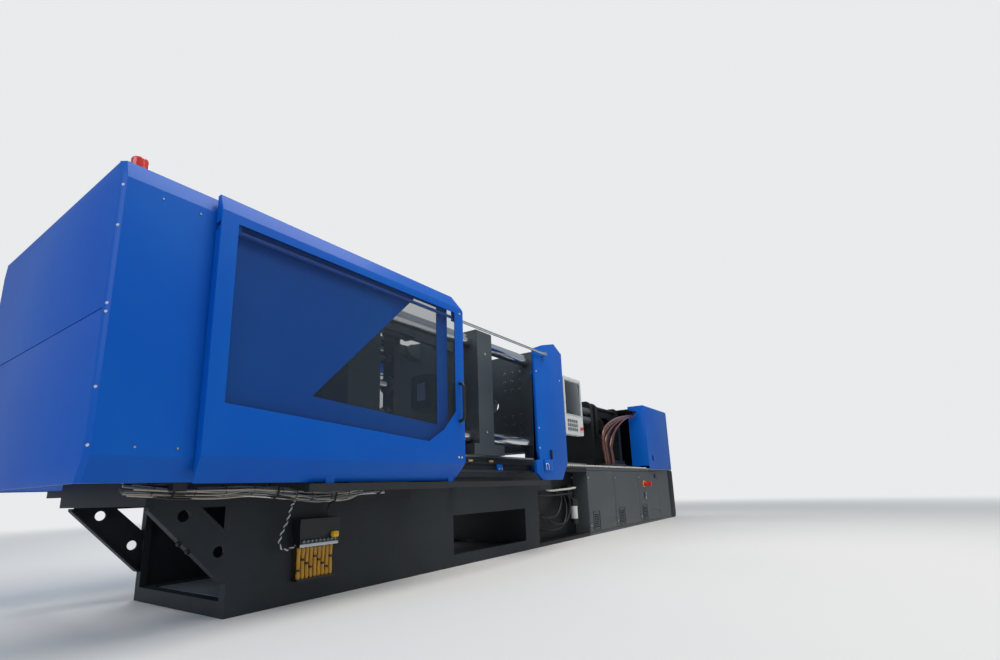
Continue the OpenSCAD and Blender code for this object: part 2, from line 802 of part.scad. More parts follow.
// Signal lamp: a socket, a ribbed lens and a low dome
module beacon() {
    y = -half_cover + edge_in + 60;
    color("#c8281e") {
        bar_z(beacon_x, y, cover_z, cover_z + 16, 40);
        bar_z(beacon_x, y, cover_z + 16 - weld, cover_z + 60, 36);
        translate([beacon_x, y, cover_z + 60 - weld]) rotate_extrude()
            polygon([[0, 0], [36, 0], [33, 8], [22, 14], [0, 17]]);
    }
}

// Sliding door: the section across it and the outline seen from the side, met in one dished sheet
function door_line(back) = [[back, door_bottom], [-door_face, door_knee], [-door_face, door_top - top_bevel],
    [-door_face + edge_in, door_top], [back, door_top]];
function door_outline(d) = let(a = door_x + d, b = door_x + door_l - d, z0 = door_bottom + d, z1 = door_top - d)
    [[a, z0], [b - 75, z0], [b, z0 + 139], [b, z1 - 107], [b - 105, z1], [a, z1]];
module door_form(d) {
    line = door_line(-door_back + (d > 0 ? 1 : 0));
    inner = [for (i = [0:len(line) - 1]) line[i] - d * miter(line, i)];
    intersection() {
        pull_x(door_x - 1, door_x + door_l + 1, backwards(inner));
        pull_y(-door_face - 1, -door_back + 2 * sheet_t, door_outline(d));
    }
}

module sliding_door() {
    slot = bracket_hw + 4;
    difference() {
        door_form(0);
        door_form(sheet_t);
        pull_y(-door_face - 1, -door_face + 3 * sheet_t, at_left(door_window));
        for (x = [door_x - 1, door_x + door_l - 20])
            block([x, -guide_y - slot, guide_z - slot], [x + 21, -door_back + 1, guide_z + slot]);
    }
    for (x = [door_x + 50, door_x + door_l - 90]) door_hanger(x);
    for (x = [rail_x + 120, door_x + door_l - 160])
        block([x, -rail_y - tongue_t / 2, rail_z + 15], [x + 60, -rail_y + tongue_t / 2, door_bottom + 45]);
}

// Runner on the guide rod, hung from the inside of the door's top fold
module door_hanger(x) {
    difference() {
        intersection() {
            block([x, -guide_y - 18, guide_z - 22], [x + hanger_l, -guide_y + 22, door_top]);
            door_form(sheet_t - weld);
        }
        bar_x(x - 1, x + hanger_l + 1, -guide_y, guide_z, guide_rod_r + seat_gap);
    }
}

module operator_door() {
    color("#0f74e6") sliding_door();
}

module door_glass() {
    y = -door_face + sheet_t;
    pull_y(y, y + glass_t, [for (q = door_window)
        [left + q[0] + glass_lap * sign(q[0] - window_mid[0]), q[1] + glass_lap * sign(q[1] - window_mid[1])]]);
}

module operator_door_window() {
    color("#3a4750", 0.5) door_glass();
}

// Bow handle on the door's right stile
handle_pts = [[0, 0, 0], [0, -38, 14], [0, -46, 60], [0, -46, 150], [0, -46, 240], [0, -38, 286], [0, 0, 300]];
module bow_handle() {
    p = [for (q = smooth(handle_pts, 3)) q + [door_x + door_l - 62, -door_face, 1150]];
    difference() {
        sweep(p, 13, 10, [1, 0, 0]);
        block([door_x, -door_face, 1100], [door_x + door_l, -door_face + 40, 1500]);
    }
}

module operator_door_handle() {
    color("#25282b") bow_handle();
}

// Rod above, slotted rail below and the brackets that hold them
module door_guides() {
    color("#b9bfc3") bar_x(door_x + 14, rod_end, -guide_y, guide_z, guide_rod_r);
    color("#202326") {
        rod_bracket(door_x + 14, 30, -half_cover);
        rod_bracket(rod_end - 45, 45, -post_face);
        difference() {
            block([rail_x, -rail_y - rail_w / 2, rail_z], [rail_end, -rail_y + rail_w / 2, rail_z + rail_h]);
            block([rail_x + 20, -rail_y - tongue_t / 2 - 2, rail_z + 10],
                [rail_end - 20, -rail_y + tongue_t / 2 + 2, rail_z + rail_h + 1]);
        }
        for (x = [left + 2700, left + 3640])
            block([x, -rail_y + rail_w / 2, rail_z], [x + 50, -half_bed, rail_z + 35]);
        for (x = [left + 1300, left + cover_l - 64])
            block([x, -rail_y + rail_w / 2, outrigger_z], [x + 60, -half_cover + cover_in + 8, rail_z + rail_h]);
    }
}

module rod_bracket(x, l, y) {
    block([x, -guide_y - bracket_hw, guide_z - bracket_hw], [x + l, y, guide_z + bracket_hw]);
}

module front_door_guides() {
    door_guides();
}

module rear_door_guides() {
    mirror([0, 1, 0]) door_guides();
}

module rear_door() {
    color("#0d5fc4") translate([door_travel, 0, 0]) mirror([0, 1, 0]) {
        sliding_door();
        bow_handle();
    }
}

module rear_door_window() {
    color("#3a4750", 0.5) translate([door_travel, 0, 0]) mirror([0, 1, 0]) door_glass();
}

// Cover beside the fixed platen: a folded plate with cut corners and a wider foot at its lower left
function post_shape(d) = let(b = post_x + post_l) [[post_x - 46 + d, 772 + d], [post_x + 58, 701 + d],
    [b - 134, 701 + d], [b - d, 880 + d], [b - d, 2080 - d], [b - 170, 2165 - d], [post_x + 194, 2100 - d],
    [post_x + d, 2025 - d], [post_x + d, 984], [post_x + 28 + d, 898 - d], [post_x - 46 + d, 890 - d]];
module post_cover() {
    color("#0c55b0") {
        difference() {
            pull_y(-post_face, -post_face + post_deep, post_shape(0));
            pull_y(-post_face + sheet_t, -post_face + post_deep + 1, post_shape(sheet_t));
        }
        post_arm(fixed_x - 2 * arm_t, arm_z, -half_bed);
        for (z = [1250, 1880]) {
            post_arm(fixed_x - arm_t, z, -half_platen + 30);
            block([fixed_x - arm_t, -half_platen - 20, z], [fixed_x, -half_platen + 30, z + 50]);
        }
    }
}

// Arm from the post cover in to the bed or to the fixed platen
module post_arm(x, z, foot) {
    block([x, -post_face + sheet_t - weld, z], [x + arm_t - sheet_t, foot, z + 50]);
}

module front_post_cover() {
    post_cover();
}

module rear_post_cover() {
    mirror([0, 1, 0]) post_cover();
}

// Cabinet frame: floor, roof, back, ends and posts, with the recess panel in front of it
module cabinet_frame() {
    h = bed_w / 2 + 2;
    t = 6;
    color("#33383b") {
        difference() {
            block([cab_x, -h, 0], [cab_end, h, cab_z]);
            block([cab_x + t, -h + door_t, t + 30], [cab_end - t, h - t, cab_z - t]);
            for (i = [0:2]) block([cab_x + door_at[i], -h - 1, door_low], [cab_x + door_at[i + 1] - 25, -h + door_t + 1, door_high]);
            for (i = [0:2]) block([cab_x + door_at[i] - door_gap, -h - 1, door_low - door_gap],
                [cab_x + door_at[i + 1] - 25 + door_gap, -h + door_t, door_high + door_gap]);
        }
        for (i = [1:2]) block([cab_x + door_at[i] - 22, -h + door_t, t],
            [cab_x + door_at[i] - 3, h - t + weld, cab_z - weld]);
        difference() {
            block([bed_end, -h + 200, 30], [cab_x + weld, h - 200, cab_z - 20]);
            block([bed_end + 8, -h + 206, 36], [cab_x + weld + 1, h - 206, cab_z - 26]);
        }
        mirrored() block([bed_end, half_bed - 100, 0], [cab_x + weld, half_bed, 40]);
        block([bed_end, -half_bed + 100 - weld, 0], [cab_x + weld, half_bed - 100 + weld, 30 + weld]);
        mirrored() block([fixed_x + 700, half_bed - 120, cab_z - 60], [cab_x + weld, half_bed, cab_z]);
    }
}

// Cabinet door with vent slots, hinged at its right edge
module cabinet_door(i) {
    h = bed_w / 2 + 2;
    x0 = cab_x + door_at[i];
    x1 = cab_x + door_at[i + 1] - 25;
    vent_x = x0 + 150;
    color("#4d5458") {
        difference() {
            block([x0, -h, door_low], [x1, -h + door_t - seat_gap, door_high]);
            block([x0 + 30, -h + 3, door_low + 30], [x1 - 30, -h + door_t, door_high - 30]);
            for (k = [0:7]) block([vent_x, -h - 1, 90 + k * 22], [vent_x + 140, -h + 4, 100 + k * 22]);
        }
        for (z = [door_low + 80, door_high - 140]) bar_z(x1, -h, z, z + 60, door_gap - seat_gap);
        for (x = [x0 + 60, x1 - 60]) bar_y(x, -h - 5, -h + 1, door_high - 45, 14);
    }
}

module cabinet_door_1() {
    cabinet_door(0);
}

module cabinet_door_2() {
    cabinet_door(1);
}

module cabinet_door_3() {
    cabinet_door(2);
}

module cabinet_end_post() {
    color("#17191b") difference() {
        pull_y(-half_bed + 4, half_bed - 4, [[cab_end, 0], [cab_end + end_l - 40, 0], [cab_end + end_l, 60],
            [cab_end + end_l, cab_z - 30], [cab_end + end_l - 30, cab_z], [cab_end, cab_z]]);
        pull_y(-half_bed + 10, half_bed - 10, [[cab_end - 1, 30], [cab_end + end_l - 50, 30],
            [cab_end + end_l - 8, 70], [cab_end + end_l - 8, cab_z - 40], [cab_end + end_l - 40, cab_z - 8],
            [cab_end - 1, cab_z - 8]]);
    }
}

// Rotary main switch: round hub and a tall grip that stands out from the door, with a padlock hole
module main_switch() {
    h = bed_w / 2 + 2;
    color("#d6301f") {
        bar_y(switch_x, -h - 55, -h - seat_gap, switch_z, 34);
        difference() {
            pull_y(-h - 125, -h - 55 + weld, [[switch_x - 12, switch_z - 38], [switch_x + 12, switch_z - 38],
                [switch_x + 18, switch_z + 38], [switch_x - 18, switch_z + 38]]);
            bar_x(switch_x - 19, switch_x + 19, -h - 105, switch_z + 20, 6);
        }
    }
}

// Deck over the cabinet and the recess, with raised studs in rows
module tread_plate() {
    deck_x = fixed_x + 740;
    color("#b4babd") {
        block([deck_x, -half_bed + 4, cab_z], [inj_x - 30, half_bed - 4, deck_z - 9]);
        block([deck_x, -half_bed, cab_z + 2], [deck_x + 12, half_bed, deck_z]);
        mirrored() block([inj_x + 10, half_bed - 40, cab_z], [inj_x + inj_l - 40, inj_hw - sheet_t, cab_z + 20]);
        for (k = [0:16]) block([deck_x + 40 + k * 90, -half_bed + 30, deck_z - 9 - weld],
            [deck_x + 80 + k * 90, -320, deck_z - 5]);
    }
}

module injection_rails() {
    color("#9aa1a5") mirrored() {
        block([fixed_x + 800, rail_hw - 40, deck_z - 9], [inj_x + 500, rail_hw + 40, deck_z + 14]);
        block([fixed_x + 800, rail_hw - 17, deck_z + 14 - weld], [inj_x + 500, rail_hw + 17, rail_top]);
    }
}

// Carriage: sliding base, barrel plate, rear plate and four bars between them
module carriage() {
    base_z = rail_top + 70;
    color("#4a5155") {
        difference() {
            block([carriage_x - 150, -carriage_hw, rail_top - 26], [rear_plate_x + 200, carriage_hw, base_z]);
            mirrored() block([carriage_x - 151, rail_hw - 18, rail_top - 27], [rear_plate_x + 201, rail_hw + 18, rail_top + seat_gap]);
            block([carriage_x - 151, -rail_hw + 70, rail_top - 27], [rear_plate_x + 201, rail_hw - 70, rail_top + seat_gap]);
        }
        difference() {
            carriage_plate(carriage_x, base_z - weld);
            bar_x(carriage_x - 1, carriage_x + carriage_plate_t + 1, 0, axis_z, barrel_r + 0.02);
        }
        difference() {
            carriage_plate(rear_plate_x, base_z - weld);
            bar_x(rear_plate_x - 1, rear_plate_x + carriage_plate_t + 1, 0, axis_z, 165);
        }
        block([rear_plate_x + 20, -carriage_hw - 190, hose_plate_z],
            [rear_plate_x + 470, -carriage_hw + 60, hose_plate_z + hose_plate_t]);
    }
    color("silver") for (sy = [-1, 1]) for (sz = [-1, 1])
        bar_x(carriage_x + carriage_plate_t - weld, rear_plate_x + weld, sy * bar_off, axis_z + sz * bar_off, bar_r);
}

module carriage_plate(x, z0) {
    top = axis_z + 290;
    pull_x(x, x + carriage_plate_t, [[-carriage_hw, z0], [carriage_hw, z0], [carriage_hw, top - 60],
        [carriage_hw - 60, top], [-carriage_hw + 60, top], [-carriage_hw, top - 60]]);
}

// Barrel with its feed throat: the counterbore above takes the spigot of a hopper
module barrel() {
    color("#6b7378") difference() {
        union() {
            bar_x(barrel_x, barrel_end, 0, axis_z, barrel_r);
            bar_x(barrel_x, barrel_x + 90, 0, axis_z, barrel_r + 10);
            block([feed_x - 75, -70, axis_z + barrel_r - 30], [feed_x + 75, 70, feed_top]);
        }
        bar_x(barrel_x + 60, barrel_end + 1, 0, axis_z, screw_bore);
        bar_x(barrel_x - 1, barrel_x + 61, 0, axis_z, 12);
        bar_z(feed_x, 0, axis_z, feed_top, throat_r);
        bar_z(feed_x, 0, feed_top - seat_deep, feed_top + 1, seat_r);
    }
}

// Heater bands along the barrel, each a split ring with a clamp block
module heater_bands() {
    band_l = 150;
    color("#a9afb2") for (k = [0:5]) translate([barrel_x + 110 + k * (band_l + 40), 0, axis_z]) difference() {
        union() {
            bar_x(0, band_l, 0, 0, barrel_r + 15);
            block([20, -16, -barrel_r - 40], [band_l - 20, 16, -barrel_r]);
        }
        bar_x(-1, band_l + 1, 0, 0, barrel_r + 0.02);
        block([-1, -2, -barrel_r - 41], [band_l + 1, 2, -barrel_r + 5]);
    }
}

module nozzle() {
    color("#8d9498") translate([nozzle_x, 0, axis_z]) rotate([0, 90, 0]) rotate_extrude()
        polygon([[3, 0], [10, 0], [20, 6], [22, 40], [34, 60], [34, 150], [60, 175], [60, nozzle_l],
            [12, nozzle_l], [8, nozzle_l - 60], [3, 20]]);
}

// Screw: root, one thread with a pitch of its own diameter, check-ring tip and plain shank
module screw() {
    tip = 60;
    start = barrel_x + 60 + 20;
    thread_l = barrel_l - 420;
    core_r = screw_r * 0.68;
    color("silver") {
        translate([start, 0, axis_z]) rotate([0, 90, 0]) {
            rotate_extrude() polygon([[0, 0], [8, 10], [core_r, tip], [screw_r - 6, tip], [screw_r - 6, tip + 30],
                [core_r, tip + 30], [core_r, tip + 40 + thread_l], [0, tip + 40 + thread_l]]);
            translate([0, 0, tip + 35]) linear_extrude(height = thread_l, twist = -360 * thread_l / screw_d,
                slices = round(thread_l / screw_d * 6), segments = 6) thread_section(core_r);
        }
        bar_x(start + tip + 40 + thread_l - weld, drive_x, 0, axis_z, screw_r);
    }
}

module thread_section(core_r) {
    wide = 26;
    polygon(concat([for (a = [-wide:wide:wide]) (screw_r - 0.6) * [cos(a), sin(a)]],
        [for (a = [wide + 12, 0, -wide - 12]) (core_r - 3) * [cos(a), sin(a)]]));
}

// Drive: pressure plate that slides on the carriage bars, with the screw motor behind it
module injection_drive() {
    color("#34393d") {
        difference() {
            pull_x(drive_x, drive_x + drive_t, [[-carriage_hw + 10, axis_z - 280], [carriage_hw - 10, axis_z - 280],
                [carriage_hw - 10, axis_z + 230], [carriage_hw - 60, axis_z + 280],
                [-carriage_hw + 60, axis_z + 280], [-carriage_hw + 10, axis_z + 230]]);
            for (sy = [-1, 1]) for (sz = [-1, 1])
                bar_x(drive_x - 1, drive_x + drive_t + 1, sy * bar_off, axis_z + sz * bar_off, bar_r + run_gap);
        }
        motor_x = drive_x + drive_t;
        bar_x(motor_x - weld, motor_x + motor_l, 0, axis_z, 140);
        for (k = [0:7]) bar_x(motor_x + 60 + k * 50, motor_x + 80 + k * 50, 0, axis_z, 148);
        bar_x(motor_x + motor_l - weld, motor_x + motor_l + 60, 0, axis_z, 110);
    }
}

// Two cylinders a side, bolted to the barrel plate: the upper one injects, the lower one pulls the carriage
module injection_cylinders() {
    x0 = carriage_x - cyl_l;
    color("#5a6267") mirrored() difference() {
        for (z = [traverse_z, traverse_z + 135]) {
            bar_x(x0, carriage_x, cyl_y, z, 52);
            bar_x(x0 - 30, x0 + 20, cyl_y, z, 58);
            bar_x(carriage_x - 40, carriage_x, cyl_y, z, 58);
        }
        bar_x(x0 - 31, carriage_x - 20, cyl_y, traverse_z, traverse_r + run_gap);
    }
}

// Cover over the injection drive, open towards the clamp beside a flap and cut back over the hoses
module injection_cover() {
    t = sheet_t;
    flap = 300;
    back_x = inj_x + 480;
    color("#0b5cbc") {
        difference() {
            pull_x(inj_x, inj_x + inj_l, [[-inj_hw, inj_low], [inj_hw, inj_low], [inj_hw, inj_cover_z - 24],
                [inj_hw - 24, inj_cover_z], [-inj_hw + 24, inj_cover_z], [-inj_hw, inj_cover_z - 24]]);
            pull_x(inj_x + t, inj_x + inj_l - t, [[-inj_hw + t, inj_low - 1], [inj_hw - t, inj_low - 1],
                [inj_hw - t, inj_cover_z - 24 - t], [inj_hw - 24 - t, inj_cover_z - t],
                [-inj_hw + 24 + t, inj_cover_z - t], [-inj_hw + t, inj_cover_z - 24 - t]]);
            block([inj_x - 1, -inj_hw + flap, inj_low - 1], [back_x, inj_hw + 1, inj_cover_z + 1]);
            block([inj_x - 1, -inj_hw - 1, inj_low - 1], [inj_x + t + 1, -inj_hw + flap + 1, inj_low + 60]);
            block([inj_x + 200, -inj_hw - 1, 1020], [inj_x + 260, -inj_hw + t + 1, 1110]);
        }
    }
}

// Corrugated hoses from the carriage's plate down to a clamp block on the deck, fanned out below
module hose_bundle() {
    path = concat([[hose_pts[0][0], 0, hose_plate_z - seat_gap]], smooth(hose_pts, 3),
        [[hose_pts[len(hose_pts) - 1][0], 1, hose_foot - weld]]);
    first_y = -carriage_hw - 34;
    color("#b5663a") for (k = [0:3])
        sweep([for (q = path) [inj_x + q[0] - k * hose_fan * q[1], first_y - k * hose_pitch, q[2]]], hose_r);
    color("#25282b") block([inj_x - 1150 - 3 * hose_fan - 30, first_y - 3 * hose_pitch - 25, deck_z - 9],
        [inj_x - 1120, first_y + 25, hose_foot]);
}

// Operator terminal: a rounded box with a sunk screen and rows of keys
module terminal() {
    r = 22;
    color("#d5d9db") difference() {
        translate([0, term_y + term_t, 0]) rotate([90, 0, 0]) linear_extrude(height = term_t)
            rounded(term_x, term_low, term_w, term_h, r);
        block([term_x + 45, term_y - 1, term_low + 230], [term_x + term_w - 45, term_y + 6, term_low + term_h - 45]);
        bar_y(stop_x, term_y - 1, term_y + 30, stop_z, stop_r + seat_gap);
    }
    color("#25282b") {
        for (i = [0:4]) for (j = [0:2])
            block([term_x + 55 + i * 52, term_y - 4, term_low + 45 + j * 48], [term_x + 90 + i * 52, term_y + 1, term_low + 77 + j * 48]);
        for (z = [swivel_z - arm_h / 2 - seat_gap - 30, swivel_z + arm_h / 2 + seat_gap]) {
            block([swivel_x - arm_r, term_y + term_t - weld, z], [swivel_x + arm_r, swivel_y, z + 30]);
            bar_z(swivel_x, swivel_y, z, z + 30, arm_r);
        }
        bar_z(swivel_x, swivel_y, swivel_z - arm_h, swivel_z + arm_h, swivel_r);
    }
}

module rounded(x, z, w, h, r) {
    translate([x + r, z]) square([w - 2 * r, h]);
    translate([x, z + r]) square([w, h - 2 * r]);
    for (i = [0, 1]) for (j = [0, 1]) translate([x + r + i * (w - 2 * r), z + r + j * (h - 2 * r)]) circle(r);
}

// Arm that carries the terminal on a vertical swivel
module terminal_arm() {
    foot_y = -half_platen - 90;
    color("#25282b") difference() {
        union() {
            block([fixed_x + 10, foot_y, swivel_z - arm_h], [swivel_x + arm_r, -half_platen, swivel_z + arm_h]);
            block([swivel_x - arm_r, swivel_y, swivel_z - arm_h / 2],
                [swivel_x + arm_r, foot_y + weld, swivel_z + arm_h / 2]);
            bar_z(swivel_x, swivel_y, swivel_z - arm_h / 2, swivel_z + arm_h / 2, arm_r);
        }
        bar_z(swivel_x, swivel_y, swivel_z - arm_h, swivel_z + arm_h, swivel_r + run_gap);
    }
}

// Emergency stop: a mushroom head that is pushed in
module stop_button() {
    color("#d6301f") translate([stop_x, term_y, stop_z]) rotate([90, 0, 0]) rotate_extrude()
        polygon([[0, -22], [stop_r, -22], [stop_r, 10], [22, 10], [24, 15], [20, 24], [8, 28], [0, 28]]);
}

// Water flow controller: housing, manifold with ports, and clear tubes below it
module flow_unit() {
    x0 = left + flow_x;
    w = flow_n * flow_pitch + 30;
    color("#1b1d1f") block([x0, -half_bed - 84, 392], [x0 + w, -half_bed, 490]);
    color("#c9ced2") {
        difference() {
            block([x0 + 10, -half_bed - 74, 322], [x0 + w - 4, -half_bed, 392 + weld]);
            for (k = [0:flow_n - 1]) bar_y(x0 + 30 + k * flow_pitch, -half_bed - 75, -half_bed - 60, 358, 9);
        }
        block([x0 + 10, -half_bed - 60, 128], [x0 + w - 4, -half_bed, 140]);
        block([x0 + 10, -half_bed - 6, 139], [x0 + w - 4, -half_bed, 323]);
    }
}

module flow_tubes() {
    color("#e0a020") for (k = [0:flow_n - 1]) {
        x = left + flow_x + 30 + k * flow_pitch;
        bar_z(x, -half_bed - 36, 140, 322, 11);
        bar_z(x, -half_bed - 36, 150, 168, 13);
        bar_z(x, -half_bed - 36, 296, 314, 13);
    }
}

// Cables clipped under the cover's edge, with a tail down to the flow unit
module cable_loom() {
    p = [for (q = smooth(loom_pts, 3)) q + [left, 0, 0]];
    color("#3a3d40") {
        for (k = [0:2]) sweep([for (q = p) q + [0, (k - 1) * loom_pitch, (k % 2) * 14]], loom_r);
        for (x = [bed_x - 433, left + 1310, left + cover_l - 54])
            block([x, -790, 630], [x + 40, -700, outrigger_z]);
        sweep([for (q = smooth(tail_pts, 3)) q + [left, 0, 0]], 9);
    }
}

// Valve blocks, filter and hoses in the recess
module recess_hydraulics() {
    face = -half_bed + 198;
    x0 = fixed_x;
    color("#4a5155") {
        block([x0 + 1000, face - 60, 420], [x0 + 1120, face, 640]);
        block([x0 + 60, face - 30, 500], [x0 + 180, face, 640]);
        block([x0 + 200, face - 30, 250], [x0 + 320, face, 350]);
        block([x0 + 740, face - 30, 520], [x0 + 860, face, 600]);
    }
    color("#b9bfc3") {
        bar_z(x0 + 1060, face - 60 - 42, 170, 400, 42);
        bar_z(x0 + 1060, face - 60 - 42, 400 - weld, 470, 48);
        block([x0 + 1030, face - 80, 425], [x0 + 1090, face - 59, 470]);
    }
    color("#1b1d1f") sweep([for (q = smooth(valve_pts, 3)) q + [x0, 0, 0]], 14, 8, [0, 0, 1]);
    color("#c9ced2") sweep([for (q = smooth(feed_pts, 3)) q + [x0, 0, 0]], 12, 8, [0, 0, 1]);
}

clamp_bed();
clamp_ways();
cover_beams();
cabinet_frame();
fixed_platen();
tie_bars();
front_nuts();
tail_stock();
rear_nuts();
clamp_cylinder();
piston_rod();
crosshead();
rear_link_upper();
rear_link_lower();
front_link_upper();
front_link_lower();
cross_link_upper();
cross_link_lower();
moving_platen();
ejector_housing();
ejector_plate();
end_cover_lower();
end_cover_upper();
front_cover();
front_cover_window();
rear_cover();
roof_strip();
beacon();
operator_door();
operator_door_window();
operator_door_handle();
front_door_guides();
rear_door();
rear_door_window();
rear_door_guides();
front_post_cover();
rear_post_cover();
tread_plate();
injection_rails();
carriage();
barrel();
heater_bands();
nozzle();
screw();
injection_drive();
injection_cylinders();
injection_cover();
hose_bundle();
cabinet_door_1();
cabinet_door_2();
cabinet_door_3();
cabinet_end_post();
main_switch();
terminal();
terminal_arm();
stop_button();
flow_unit();
flow_tubes();
cable_loom();
recess_hydraulics();
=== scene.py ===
# %% [markdown]
# An injection moulding machine, dressed for a render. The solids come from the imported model, which
# holds every size. This file adds the finishes, softens the folded sheet metal, and makes the small
# things that a solid model leaves out, such as cables, gaskets, screws and corrugated hoses.

# %% Load the frame
import json
import math
import random

import bmesh
import bpy
from mathutils import Matrix, Vector


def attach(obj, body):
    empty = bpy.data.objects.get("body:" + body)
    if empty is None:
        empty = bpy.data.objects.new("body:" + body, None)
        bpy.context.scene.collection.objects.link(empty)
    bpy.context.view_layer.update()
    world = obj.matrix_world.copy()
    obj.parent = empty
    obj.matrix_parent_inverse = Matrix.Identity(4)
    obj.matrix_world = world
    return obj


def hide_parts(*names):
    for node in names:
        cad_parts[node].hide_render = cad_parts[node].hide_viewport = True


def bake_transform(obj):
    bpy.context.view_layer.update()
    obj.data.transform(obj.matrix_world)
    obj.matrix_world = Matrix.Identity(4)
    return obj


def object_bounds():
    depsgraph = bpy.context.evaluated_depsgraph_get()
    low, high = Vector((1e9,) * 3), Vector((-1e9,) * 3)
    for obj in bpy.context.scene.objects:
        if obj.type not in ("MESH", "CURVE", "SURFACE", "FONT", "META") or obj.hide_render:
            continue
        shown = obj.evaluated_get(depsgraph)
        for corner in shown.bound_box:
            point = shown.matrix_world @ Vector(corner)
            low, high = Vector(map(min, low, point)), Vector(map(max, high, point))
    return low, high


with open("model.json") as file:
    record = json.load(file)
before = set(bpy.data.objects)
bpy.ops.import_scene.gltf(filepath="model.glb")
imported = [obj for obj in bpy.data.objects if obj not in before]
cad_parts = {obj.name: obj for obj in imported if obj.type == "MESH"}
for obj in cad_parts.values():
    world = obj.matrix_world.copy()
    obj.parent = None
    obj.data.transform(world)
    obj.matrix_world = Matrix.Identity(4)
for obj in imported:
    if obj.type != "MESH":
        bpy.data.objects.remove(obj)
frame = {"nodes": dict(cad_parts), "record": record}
nodes = frame["nodes"]
cad_box = [list(corner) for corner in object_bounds()]
body_of_node = {n: b for b, members in frame["record"]["behaviour"]["bodies"].items() for n in members}
print("nodes", len(nodes), "box", cad_box)

# %% [markdown]
# The camera stands close to the clamp end at the operator's side, low down, with a wide lens, so the
# near corner towers and the far end shrinks. Its place and turn are the photograph's own, worked out
# from the machine's straight edges. A wide lens close by is not the same as a long lens far away:
# the ratio between near and far sizes comes from the camera's place alone.

# %% Camera
END_PANEL_OUT = 0.008
LEFT = cad_box[0][0] + END_PANEL_OUT
EYE_FROM_LEFT = Vector((-0.750, -3.438, 0.633))
YAW, PITCH, ROLL = (math.radians(a) for a in (55.854, 12.273, -2.0))
LENS_MM = 18.22


def aim(yaw, pitch, roll):
    """Turn of a camera that looks yaw from +Y towards +X, pitch up, and rolls about its own axis."""
    ahead = Vector((math.sin(yaw) * math.cos(pitch), math.cos(yaw) * math.cos(pitch), math.sin(pitch)))
    level = Vector((math.cos(yaw), -math.sin(yaw), 0))
    over = level.cross(ahead)
    right = level * math.cos(roll) + over * math.sin(roll)
    up = over * math.cos(roll) - level * math.sin(roll)
    return Matrix((right, up, -ahead)).transposed().to_4x4()


camera_data = bpy.data.cameras.new("camera")
camera = bpy.data.objects.new("camera", camera_data)
bpy.context.scene.collection.objects.link(camera)
bpy.context.scene.camera = camera
camera_data.lens = LENS_MM
camera_data.sensor_width = 36
camera_data.shift_x = 0.0021
camera_data.shift_y = 0.0484
camera_data.clip_end = 200
camera.matrix_world = Matrix.Translation(EYE_FROM_LEFT + Vector((LEFT, 0, 0))) @ aim(YAW, PITCH, ROLL)
print("camera at", tuple(round(v, 3) for v in camera.location))

# %% [markdown]
# Colours are written as hex values, as a paint chart gives them, and turned into the linear numbers
# that the renderer adds up. One helper adds a shader node with its settings and links, which keeps
# every material readable as a short recipe.


# %% Colour and node helpers
def linear(hex_colour):
    """Linear RGBA of an sRGB hex colour."""
    parts = [int(hex_colour[i : i + 2], 16) / 255 for i in (1, 3, 5)]
    return [c / 12.92 if c <= 0.04045 else ((c + 0.055) / 1.055) ** 2.4 for c in parts] + [1]


def node(tree, kind, links=None, **settings):
    """Adds a shader node. links maps an input's name or number to a value or to another node's socket."""
    made = tree.nodes.new("ShaderNode" + kind)
    for name, value in settings.items():
        setattr(made, name, value)
    for name, value in (links or {}).items():
        if isinstance(value, bpy.types.NodeSocket):
            tree.links.new(value, made.inputs[name])
        else:
            made.inputs[name].default_value = value
    return made


def finish_of(name, colour, roughness, metallic=0.0, **sockets):
    """A new material with its Principled shader; returns the material, its tree and the shader."""
    material = bpy.data.materials.new(name)
    material.use_nodes = True
    tree = material.node_tree
    shader = tree.nodes["Principled BSDF"]
    shader.inputs["Base Color"].default_value = linear(colour)
    shader.inputs["Roughness"].default_value = roughness
    shader.inputs["Metallic"].default_value = metallic
    for socket, value in sockets.items():
        shader.inputs[socket.replace("_", " ")].default_value = value
    return material, tree, shader


def grain(tree, shader, size_mm, depth_mm, detail=3.0, strength=0.5, stretch=(1, 1, 1)):
    """Bump from noise whose lumps are size_mm across; returns the noise node."""
    place = node(tree, "TexCoord").outputs["Object"]
    turned = node(tree, "Mapping", {"Vector": place, "Scale": stretch}).outputs["Vector"]
    noise = node(tree, "TexNoise", {"Vector": turned, "Scale": 1000 / size_mm, "Detail": detail})
    lumps = {"Height": noise.outputs["Fac"], "Distance": depth_mm / 1000, "Strength": strength}
    bump = node(tree, "Bump", lumps)
    tree.links.new(bump.outputs["Normal"], shader.inputs["Normal"])
    return noise


def blotches(tree, shader, colour, other, size_mm, contrast=(0.4, 0.65)):
    """Mixes a second colour into the base in soft patches size_mm across."""
    place = node(tree, "TexCoord").outputs["Object"]
    patches = {"Vector": place, "Scale": 1000 / size_mm, "Detail": 5.0, "Roughness": 0.6}
    noise = node(tree, "TexNoise", patches)
    steep = {"Value": noise.outputs["Fac"], "From Min": contrast[0], "From Max": contrast[1]}
    ramp = node(tree, "MapRange", steep).outputs["Result"]
    mix = node(tree, "Mix", {"Factor": ramp, "A": linear(colour), "B": linear(other)}, data_type="RGBA")
    tree.links.new(mix.outputs["Result"], shader.inputs["Base Color"])
